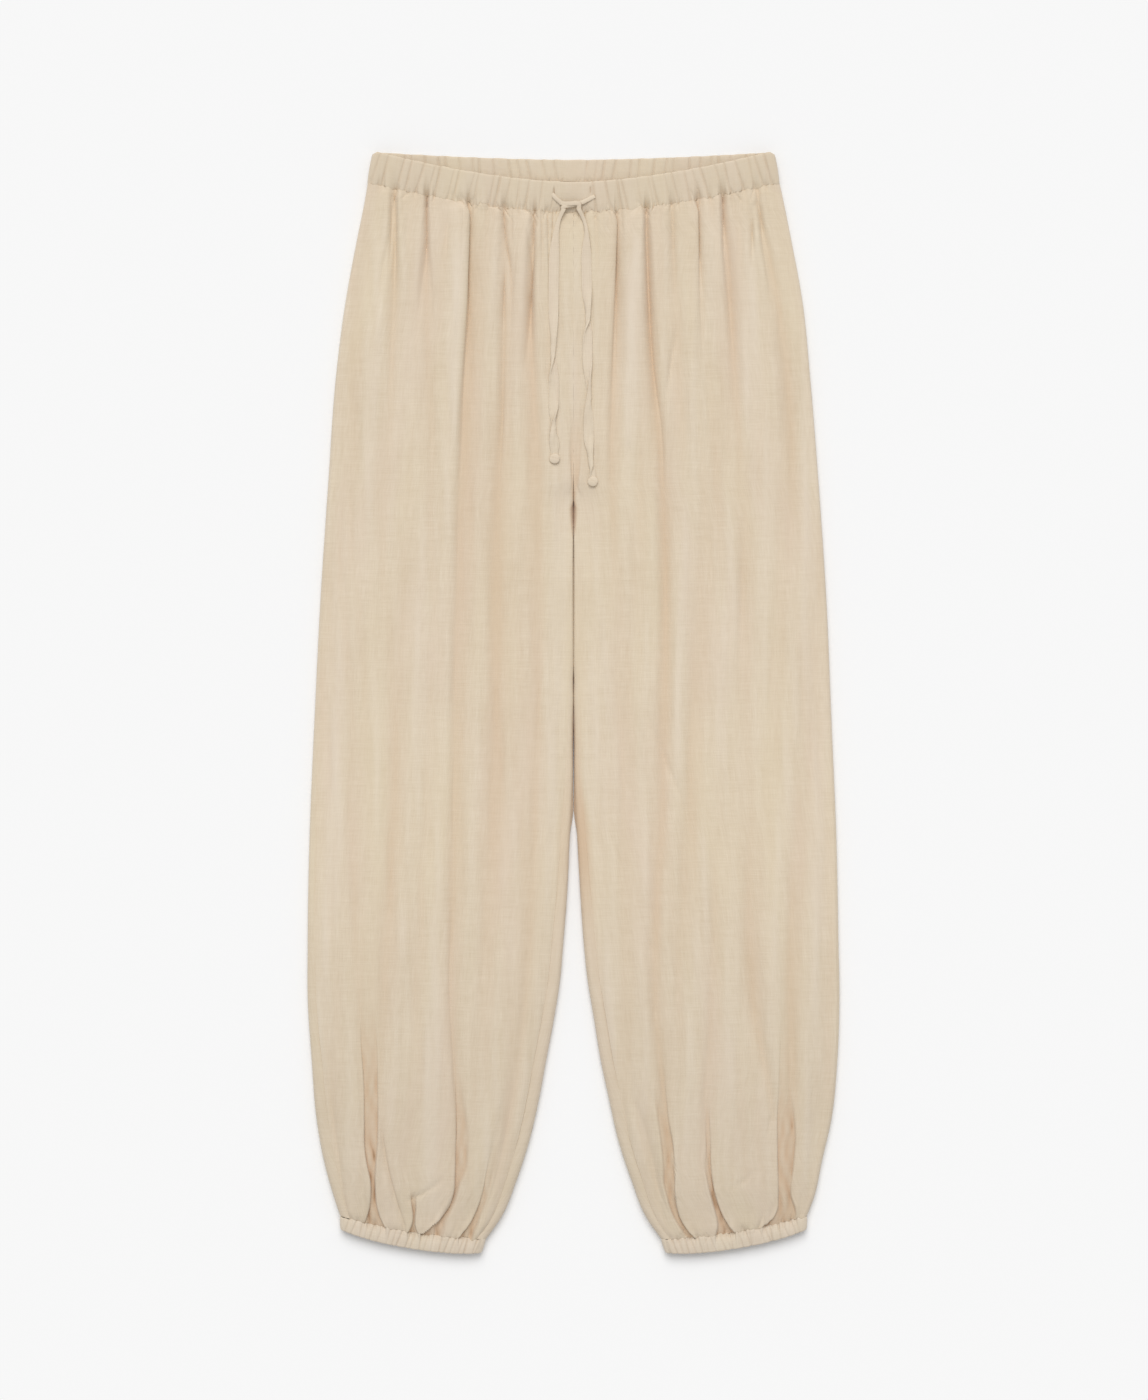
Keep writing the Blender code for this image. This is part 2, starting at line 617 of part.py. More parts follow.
def cuff(name, side, material):
    """A gathered elastic cuff, a closed ring pressed flat."""
    radius = (CUFF_TOP_Z - CUFF_WALL / 2) / 2
    axis_z = CUFF_WALL / 2 + radius
    outer, inner = [], []
    for height in (0.0, 0.5, 1.0):
        start = lerp(CUFF_HEM_INNER_HALF_GAP, CUFF_INNER_HALF_GAP, height) + CUFF_WALL / 2
        end = lerp(CUFF_HEM_OUTER_HALF, CUFF_OUTER_HALF, height) - CUFF_WALL / 2
        flat_start, flat_end = start + radius, end - radius
        row_out, row_in = [], []
        for kind, share, turn in cuff_columns():
            wave = 0.0
            if kind == "top":
                x, z, normal = lerp(flat_start, flat_end, share), CUFF_TOP_Z, (0.0, 1.0)
                wave = math.cos(2 * math.pi * CUFF_GATHERS * share)
                wave *= 0.8 + 0.2 * math.sin(9 * share + 0.4)
                wave *= ease(min(share, 1 - share) / 0.04)
            elif kind == "bottom":
                x, z, normal = lerp(flat_start, flat_end, share), CUFF_WALL / 2, (0.0, -1.0)
            else:
                end_x, outward = (flat_end, 1) if kind == "outer" else (flat_start, -1)
                x = end_x + outward * radius * math.sin(turn)
                z = axis_z + radius * math.cos(turn)
                normal = (outward * math.sin(turn), math.cos(turn))
            seam_start, seam_end = CUFF_INNER_HALF_GAP + WALL / 2, CUFF_OUTER_HALF - WALL / 2
            across = min(max((x - seam_start) / (seam_end - seam_start), 0.0), 1.0)
            seam_y = lerp(CUFF_SEAM_INNER_Y, CUFF_SEAM_OUTER_Y, across)
            seam_y -= CUFF_SEAM_SAG * math.sin(math.pi * across) + HALF_GAP
            ends = 1 - 0.22 * (2 * across - 1) ** 4
            y = seam_y - (1 - height) * (CUFF_HEIGHT * ends + 0.6 * wave)
            out_face = CUFF_WALL / 2 + CUFF_GATHER_DEPTH * wave
            if kind == "top":
                out_face += BAND_SWELL * (1 - (2 * height - 1) ** 2)
            row_out.append((x + normal[0] * out_face, y, z + normal[1] * out_face))
            row_in.append((x - normal[0] * CUFF_WALL / 2, y, z - normal[1] * CUFF_WALL / 2))
        outer.append(row_out)
        if height != 0.5:
            inner.append(row_in)
    outer, inner = np.array(outer), np.array(inner)
    if side == "right":
        outer[..., 0] *= -1
        inner[..., 0] *= -1
        return casing(name, outer[::-1], inner[::-1], material, closed=True)
    return casing(name, outer, inner, material, closed=True)


# ---- the tie -------------------------------------------------------------------------------------
def front_top(x, y):
    """Top of the front at a point seen from above: a panel's wall, or the waistband's."""
    side = "right" if x < 0 else "left"
    distance = abs(x)
    share = distance / BAND_SEAM_HALF
    if y > band_y(share, 0.0, True):
        return BAND_FRONT_Z + BAND_WALL / 2 + BAND_SWELL + GATHER_DEPTH * gather_share(x, PLAIN_PATCH_HALF)
    low, high = 0.0, 1.0
    for _ in range(30):
        middle = (low + high) / 2
        if Level(side, middle, False).row_y(distance, True) > y:
            low = middle
        else:
            high = middle
    level = Level(side, low, False)
    return level.front_z(max(distance, level.inner_tangent())) + WALL / 2


def tape_height(x, y, turn, share):
    """Height of the tape's middle, so that it just clears what it lies on."""
    reach = TIE_WIDTH / 2 * share
    flat = reach * abs(math.cos(turn))
    carried = max(front_top(x + step * (flat + 0.5), y + ahead)
                  for step in (-1, -0.5, 0, 0.5, 1) for ahead in (-3, 0, 3))
    return carried + TIE_CLEARANCE + TIE_THICKNESS / 2 + (reach - TIE_THICKNESS / 2) * abs(math.sin(turn))


def tape(name, points, turns, shares, material):
    """A narrow tape of cloth through points in mm, turned about its length at each."""
    curve = bpy.data.curves.new(name, "CURVE")
    curve.dimensions = "3D"
    curve.extrude = (TIE_WIDTH - TIE_THICKNESS) / 2 * MM
    curve.bevel_depth = TIE_THICKNESS / 2 * MM
    curve.bevel_resolution = 1
    curve.use_fill_caps = True
    curve.twist_mode = "Z_UP"
    spline = curve.splines.new("POLY")
    spline.points.add(len(points) - 1)
    for knot, point, turn, share in zip(spline.points, points, turns, shares):
        knot.co = (*(value * MM for value in point), 1.0)
        knot.tilt = turn + math.pi / 2      # untilted, the tape would stand on its edge
        knot.radius = share
    curve.materials.append(material)
    thing = bpy.data.objects.new(name, curve)
    bpy.context.scene.collection.objects.link(thing)
    return thing


def knot_z():
    """Height of the middle of the tie's knot, which lies on the waistband."""
    return BAND_FRONT_Z + BAND_WALL / 2 + BAND_SWELL + SEAM_GAP + TIE_KNOT_SIZE[2] / 2


def tie_end(name, material):
    """A free end of the tie, from the knot to the small knot at its tip."""
    route = TIE_ENDS[name]
    steps = round(1.4 * len(route["x"]))
    places = np.arange(len(route["x"]), dtype=float)
    points, turns, shares = [], [], []
    for place in np.linspace(0, places[-1], steps):
        x, y, turn = (along(places, route[column], place) for column in ("x", "y", "turn"))
        turn = math.radians(turn)
        share = lerp(1.0, TURNED_SHARE, math.sin(turn) ** 2)
        points.append((x, y, tape_height(x, y, turn, share)))
        turns.append(turn)
        shares.append(share)
    heights = np.array([point[2] for point in points])
    fall = np.array([ease(math.dist(points[0][:2], point[:2]) / TIE_FALL) for point in points])
    heights = np.maximum(heights, knot_z() - fall * TIE_KNOT_SIZE[2])    # it comes down from the knot
    for _ in range(2):      # the tape is too stiff to follow each fold
        spread = np.convolve(np.pad(heights, 1, mode="edge"), (0.25, 0.5, 0.25), mode="valid")
        heights = np.maximum(heights, spread)
    points = [(x, y, z) for (x, y, _), z in zip(points, heights)]
    return tape(name, points, turns, shares, material)


def tie_run(name, material):
    """The short stretch from a buttonhole to the knot."""
    turn, share = math.radians(25), 0.5
    points = [(x, y, tape_height(x, y, turn, share)) for x, y in TIE_RUNS[name]]
    points[-1] = (*points[-1][:2], knot_z())
    return tape(name, points, [turn] * len(points), [share] * len(points), material)


def lump(name, centre, size, material):
    """A small tight knot, as a rounded lump."""
    bpy.ops.mesh.primitive_uv_sphere_add(segments=12, ring_count=8, radius=0.5)
    thing = bpy.context.active_object
    thing.name = name
    thing.data.name = name
    for vertex in thing.data.vertices:
        vertex.co = [(vertex.co[axis] * size[axis] + centre[axis]) * MM for axis in range(3)]
    thing.data.materials.append(material)
    thing.data.shade_smooth()
    return thing


def tie(material):
    """The tie: its knot on the waistband, the runs into the buttonholes and the two free ends."""
    lump("tie_knot", (*TIE_KNOT_CENTRE, knot_z()), TIE_KNOT_SIZE, material)
    for name in TIE_RUNS:
        tie_run(name, material)
    for name, (x, y) in END_KNOTS.items():
        tie_end(name, material)
        carried = max(front_top(x + dx, y + dy) for dx in (-5, 0, 5) for dy in (-4, 0, 4))
        height = carried + SEAM_GAP + END_KNOT_SIZE[2] / 2
        lump(name.replace("end", "tip"), (x, y, height), END_KNOT_SIZE, material)


def main():
    for thing in list(bpy.data.objects):
        bpy.data.objects.remove(thing, do_unlink=True)
    cloth = linen("linen", LINEN)
    inside = linen("linen_back", LINEN_INSIDE)
    tape_cloth = linen("tie_linen", TAPE_CLOTH)
    for side in ("right", "left"):
        leg_panel("front_leg_" + side, side, True, cloth)
        leg_panel("back_leg_" + side, side, False, inside)
        cuff("cuff_" + side, side, cloth)
    band_half("waistband_front", True, cloth)
    band_half("waistband_back", False, inside)
    tie(tape_cloth)


main()
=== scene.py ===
# %% [markdown]
# # Harem trousers in light linen, laid flat
# The measured model of these trousers already holds their size, their pieces and their largest folds.
# This lesson dresses it: every measured solid is replaced by a thin shell of cloth on the same form, with
# the finer folds, gathers, seams and weave that make linen look like linen. All sizes are in millimetres,
# and they become metres only when a mesh is made.

# %% The measured model
import math

import bpy
import numpy as np
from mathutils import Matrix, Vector


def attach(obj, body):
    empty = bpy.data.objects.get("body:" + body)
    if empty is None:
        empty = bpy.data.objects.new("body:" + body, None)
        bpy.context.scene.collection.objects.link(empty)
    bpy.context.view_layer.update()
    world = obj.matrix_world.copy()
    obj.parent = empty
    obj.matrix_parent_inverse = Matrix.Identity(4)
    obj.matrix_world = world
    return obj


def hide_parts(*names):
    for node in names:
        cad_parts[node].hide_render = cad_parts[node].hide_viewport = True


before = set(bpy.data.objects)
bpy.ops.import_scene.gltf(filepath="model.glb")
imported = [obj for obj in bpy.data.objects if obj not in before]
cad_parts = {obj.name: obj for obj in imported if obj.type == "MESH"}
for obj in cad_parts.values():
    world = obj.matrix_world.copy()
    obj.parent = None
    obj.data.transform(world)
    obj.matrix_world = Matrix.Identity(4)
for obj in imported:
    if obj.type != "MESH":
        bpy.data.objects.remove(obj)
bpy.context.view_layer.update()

MM = 0.001
print("measured solids:", ", ".join(sorted(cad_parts)))

# %% [markdown]
# ## Camera
# The photograph looks straight down on the trousers. A long lens a few metres up keeps the outline true,
# as a copy stand does. One pixel of the photograph covers 0.9 mm of cloth, so the lens follows from the
# height of the picture, and a place that was read off the photograph turns into millimetres with the same
# number.

# %% Camera
PHOTO_SIZE = (1148, 1400)
ORIGIN_PIXEL = (573.5, 703.5)  # the photograph's pixel over the middle of the trousers
MM_PER_PIXEL = 0.9
CAMERA_HEIGHT = 3200.0
CLOTH_HEIGHT = 12.0  # the cloth's usual height, where the scale holds
SENSOR = 36.0
CLIP_END = 50  # metres


def spot(px, py):
    """A pixel of the photograph as a place on the trousers, in mm."""
    return (px - ORIGIN_PIXEL[0]) * MM_PER_PIXEL, (ORIGIN_PIXEL[1] - py) * MM_PER_PIXEL


def place_camera():
    """A camera that looks straight down and takes in the photograph's frame."""
    data = bpy.data.cameras.new("camera")
    data.sensor_width = SENSOR
    data.lens = SENSOR * CAMERA_HEIGHT / (PHOTO_SIZE[1] * MM_PER_PIXEL)
    data.clip_end = CLIP_END
    camera = bpy.data.objects.new("camera", data)
    x, y = spot(PHOTO_SIZE[0] / 2, PHOTO_SIZE[1] / 2)
    camera.location = (x * MM, y * MM, (CAMERA_HEIGHT + CLOTH_HEIGHT) * MM)
    bpy.context.scene.collection.objects.link(camera)
    bpy.context.scene.camera = camera
    return data.lens


print(f"lens {place_camera():.1f} mm")

# %% [markdown]
# ## Numbers that run smoothly
# A pattern cutter gives a body's sizes at a few levels and draws a smooth curve through them. The
# functions here do the same: a table holds a size at some heights, and a curve with held ends gives it
# anywhere between. Everything works on whole arrays at once, because the cloth has many thousand points.

# %% Tables and curves
RIPPLE_WAVES, RIPPLE_SPREAD = 7, (0.6, 1.5)  # waves in a ripple, and how their pitches spread
LONG = 9999  # a pitch so long that a ripple doesn't change in that direction


def table(names, rows):
    """A table with named columns, as a dictionary of arrays."""
    return {name: np.array(column, dtype=float) for name, column in zip(names.split(), zip(*rows))}


def along(places, values, place):
    """Hermite curve through values at rising places, with mean slopes and held ends."""
    places, values = np.asarray(places, float), np.asarray(values, float)
    slopes = np.gradient(values, places)
    place = np.clip(place, places[0], places[-1])
    i = np.clip(np.searchsorted(places, place, side="right") - 1, 0, len(places) - 2)
    span = places[i + 1] - places[i]
    t = (place - places[i]) / span
    start = (2 * t**3 - 3 * t**2 + 1) * values[i] + (t**3 - 2 * t**2 + t) * span * slopes[i]
    return start + (3 * t**2 - 2 * t**3) * values[i + 1] + (t**3 - t**2) * span * slopes[i + 1]


def read(columns, name, y):
    """A column's value at the level y."""
    return along(columns["y"][::-1], columns[name][::-1], y)


def ease(t):
    """0 to 1 with a soft start and end."""
    t = np.clip(t, 0.0, 1.0)
    return t * t * (3 - 2 * t)


def lerp(a, b, t):
    """From a to b at a share t of the way."""
    return a + (b - a) * t


def bell(off, width, power=2):
    """1 in the middle, and fading to 0 over a few widths on both sides."""
    return np.exp(-((np.abs(off) / width) ** power))


def fading(away, run):
    """1 at the start, and a third of that after each run."""
    return np.exp(-away / run)


def change(away, start, end, begin, run):
    """A value that goes from start to end, over a run that begins so far away."""
    return lerp(start, end, ease((away - begin) / run))


def ripple(x, y, across, down, seed):
    """Soft unevenness round 0: waves about so many mm apart across the cloth and down it."""
    draw = np.random.default_rng(seed)
    total = 0.0
    for _ in range(RIPPLE_WAVES):
        pitch = 2 * math.pi / across * draw.uniform(*RIPPLE_SPREAD)
        slope = 2 * math.pi / down * draw.uniform(-1, 1)
        total = total + np.sin(pitch * x + slope * y + draw.uniform(0, 2 * math.pi))
    return total / math.sqrt(RIPPLE_WAVES)


print("half way up a step of 10:", float(lerp(0, 10, ease(0.5))))

# %% [markdown]
# ## Sizes of the measured model
# The dressed pieces have to lie where the solids lie, so the same driving sizes and tables come first:
# the outline of each leg from the centre line, the gap between the legs, how far in from the outline the
# side seams lie on top, and how thick the flattened tube is.

# %% Driving sizes
WALL = 1.2
HALF_GAP = 0.02  # half of the gap at a seam, where the measured solids keep 0.15
WAIST_SEAM_Y, CROTCH_Y = 468.9, 183.2
CUFF_SEAM_OUTER_Y, CUFF_SEAM_INNER_Y, CUFF_SEAM_SAG = -462.0, -483.0, 4.0
BAND_HEIGHT, BAND_WALL, BAND_SEAM_HALF, BAND_TOP_HALF = 29.0, 2.2, 186.0, 181.5
BAND_FRONT_Z, BAND_DIP_SEAM, BAND_DIP_TOP, BAND_DIP_POWER = 10.2, 27.0, 28.3, 1.65
BAND_BACK_DIP_TOP, BAND_BACK_RISE_SEAM = 7.0, 2.3
CUFF_HEIGHT, CUFF_WALL, CUFF_TOP_Z = 15.0, 2.0, 9.1
CUFF_INNER_HALF_GAP, CUFF_OUTER_HALF = 79.0, 210.6
CUFF_HEM_INNER_HALF_GAP, CUFF_HEM_OUTER_HALF = 83.0, 210.0
ABOVE_ALL = 1000.0  # a distance beyond the reach of any seam
CROTCH_CURL = 22.0  # length above the crotch over which the centre edges curl up
SEAM_ONSET, SEAM_FOLD_SHARE = 25.0, 0.8
TOUCH_TOP, TOUCH_END = 160.0, 12.0  # between these levels the legs touch each other
TOUCH_TOP_RUN, TOUCH_END_RUN = 12, 40  # lengths over which that sets in and ends
PRESSED_EDGE = 0.92  # how square the inner edges are pressed where the legs touch
SHELF_RUN = 32.0  # the front rises from its edges to its full height over this width

OUTER = table("y right left", (
    (468.9, 186, 186), (453.2, 188.6, 189.5), (417.2, 195.8, 196.7), (363.2, 205.7, 206.6),
    (291.2, 214.7, 213.8), (201.2, 221, 221), (93.2, 228.2, 228.2), (-14.9, 233.6, 232.7),
    (-122.9, 238.1, 237.2), (-212.9, 239.9, 239), (-266.9, 239.9, 239.9), (-320.9, 236.3, 238.1),
    (-374.9, 231.8, 232.7), (-410.9, 225.5, 224.6), (-446.9, 215.6, 216.5), (-462, 210.6, 210.6),
))
INNER = table("y right left", (
    (183.2, 0.15, 0.15), (177, 1.3, 1.3), (165, 0.9, 0.9), (156, 0.05, 0.05), (32, 0.05, 0.05),
    (20, 0.8, 0.8), (6, 0.25, 0.3), (-10, 0.9, 0.9), (-35, 1.3, 1.4), (-58, 0.9, 1.1),
    (-85, 1.6, 1.7), (-122.9, 3.4, 3.4), (-176.9, 6, 6.4), (-212.9, 8.9, 8.9), (-248.9, 12, 12.6),
    (-284.9, 17.6, 18.5), (-320.9, 24.4, 24.3),
    (-356.9, 31.1, 32), (-392.9, 39.4, 40.1), (-428.9, 50.9, 51.8), (-464.9, 66, 66.4),
    (-483, 79, 79),
))
SEAM_INSET = table("y inseam outseam_right outseam_left", (
    (468.9, 0, 0, 0), (183.2, 0, 1, 0.5), (12, 3, 2.5, 1), (-86.9, 6, 4, 1.5),
    (-150, 8.5, 5, 1.5), (-266.9, 10.5, 7.5, 2), (-356.9, 10.5, 10, 1.5),
    (-401.9, 10, 10.5, 1), (-445, 9, 9, 1), (-483, 7.5, 7.5, 1),
))
BODY = table("y edge_radius crown", (
    (468.9, 4.7, 10.4), (440, 4.5, 12), (363.2, 3.9, 12.4), (183.2, 3.7, 12.4), (-266.9, 3.7, 12.6),
    (-400, 3.8, 12.8), (-440, 4, 12.2), (-462, 4.1, 9.8), (-490, 4.1, 9.1),
))
print("cloth from", CUFF_SEAM_INNER_Y - CUFF_HEIGHT, "to", WAIST_SEAM_Y + BAND_HEIGHT, "mm up")

# %% [markdown]
# ## The main folds
# Six long folds run down each front, from the waistband to the cuff. Each has a trough at a distance
# from the centre line and a depth, at eight levels. A real fold is seldom even: one side falls steeply,
# because the cloth rolls over there, and the other rises slowly. So each fold also has a width on its left
# and on its right, as seen from above.

# %% Main folds
FOLD_LEVELS = (448.7, 363.2, 183.2, -59.9, -266.9, -401.9, -445.0, -472.0)
FOLDS = {  # distances, depths, and widths of the trough's left and right sides
    "right": (
        ((34.7, 38.2, 31.1, 33.8, 43.7, 64.4, 76, 87),
         (4.2, 3.9, 2.2, 1.8, 1.8, 1.4, 1, 0.8), 6, 3.6),
        ((61.7, 62.6, 68.9, 69.8, 77, 84.2, 95, 100),
         (2.8, 2.5, 3, 2.6, 0.8, 0, 0, 0), 6, 9),
        ((95, 96.8, 103.1, 107.6, 111.2, 106.7, 109.6, 125.1),
         (4.4, 4.4, 2.6, 1.6, 1.4, 1.8, 1.5, 1.2), 2.6, 9.5),
        ((131.9, 132.8, 128.3, 131, 138.2, 140, 145.5, 144.9),
         (4, 2.4, 0.8, 0.4, 0.6, 0, 0.2, 0.8), 4.2, 3.6),
        ((161, 162.5, 170.6, 160.7, 169.7, 170.5, 160, 152),
         (4, 2, 0.8, 1.6, 2, 0.8, 0.6, 0.4), 6, 4.5),
        ((175, 190.4, 199.4, 201.2, 193.1, 188.1, 182.7, 191.2),
         (0, 0, 0.3, 0.6, 1.2, 1, 0.8, 0.8), 2.6, 8),
    ),
    "left": (
        ((38.3, 36.5, 34.7, 43.7, 46.4, 64, 80, 93),
         (4, 3.2, 1.6, 1, 0.6, 0.6, 0.4, 0.3), 2.6, 8.5),
        ((65.8, 67.6, 80.6, 81.5, 73.5, 86.4, 88.5, 99.5),
         (4.6, 4.2, 3, 2.4, 2.6, 1.8, 1.2, 1), 4.2, 4.4),
        ((89.6, 89.6, 104.9, 104.9, 95.9, 104, 112, 119.3),
         (2, 1.5, 0.6, 1, 0.6, 0, 0, 0), 7, 7),
        ((111.2, 113.9, 128.3, 127.4, 124, 120.6, 128.3, 138.2),
         (3.8, 1.6, 0.6, 0.4, 1, 1.2, 1.2, 1), 3, 7),
        ((134.6, 140.9, 149.9, 157.1, 161.6, 184.1, 183.6, 173.3),
         (4.2, 3.2, 1.5, 0.4, 2.4, 1.2, 0.8, 0.8), 4.2, 5.5),
        ((166.1, 183.2, 199.4, 199.4, 194.9, 199.4, 197, 196),
         (3, 2.8, 1.4, 0.6, 2, 1.4, 0.8, 0.8), 6, 5),
    ),
}
BANK, STEEP_BANK = 0.28, 0.42  # height of the banks beside a trough, as a share of its depth
BANK_PLACE = 2.0  # where a bank stands, in widths of its side
TROUGH_POWER = 1.7  # 2 is round and 1 is a sharp V
STEEP_SHARE = 0.6  # a side is steep below this share of the mean width
LIP = 0.7  # how far the steep side leans over its trough, as a share of its depth
LIP_PLACE, LIP_WIDTH = 1.1, 0.8  # where that is, in widths of the side
LIP_FROM = 3  # least difference between a fold's widths at which it leans
DEEP_POWER = 1.2  # a narrow fold gets less painted shade
# Away from the waistband and the cuff a fold changes: start and end value, where that begins and its run
NARROW, WIDEN = (0.5, 1.0, 0, 130), (0.0, 0.45, 90, 220)  # shares of its width, which add up
FADE, CRISP = (1.0, 0.95, 60, 200), (1.0, 0.0, 90, 160)  # of its depth and of its lean
FACING = {"right": -1, "left": 1}  # the wearer's right leg lies on the viewer's left


def fold_relief(side, distance, y):
    """What the main folds do: height, the painted shade that a point gets in one, and its shift to the
    viewer's right.
    """
    away = np.minimum(WAIST_SEAM_Y - y, y - CUFF_SEAM_INNER_Y)
    spread = change(away, *NARROW) + change(away, *WIDEN)
    fade = change(away, *FADE)
    crisp = change(away, *CRISP)
    height, shade_amount, shift = 0.0, 0.0, 0.0
    for distances, depths, left, right in FOLDS[side]:
        middle = along(FOLD_LEVELS[::-1], distances[::-1], y)
        depth = fade * np.maximum(along(FOLD_LEVELS[::-1], depths[::-1], y), 0.0)
        off = (distance - middle) * FACING[side]
        width = np.where(off < 0, left, right) * spread
        trough = bell(off, width, TROUGH_POWER)
        share = np.where(width < STEEP_SHARE * spread * (left + right) / 2, STEEP_BANK, BANK)
        bank = bell(np.abs(off) / width - BANK_PLACE, 1)
        height = height + depth * (share * bank - trough)
        # painted shade: the deeper a point lies in a trough, the darker and warmer its colour
        shade_amount = shade_amount + depth * trough * spread**DEEP_POWER
        towards = 1 if left < right else -1  # a lip on the left leans to the right
        steep, leaning = min(left, right) * spread, LIP * crisp * (abs(left - right) > LIP_FROM)
        shift = shift + towards * leaning * depth * bell(off * towards / steep + LIP_PLACE, LIP_WIDTH)
    return height, shade_amount, shift


print("folds in all:", sum(len(rows) for rows in FOLDS.values()))
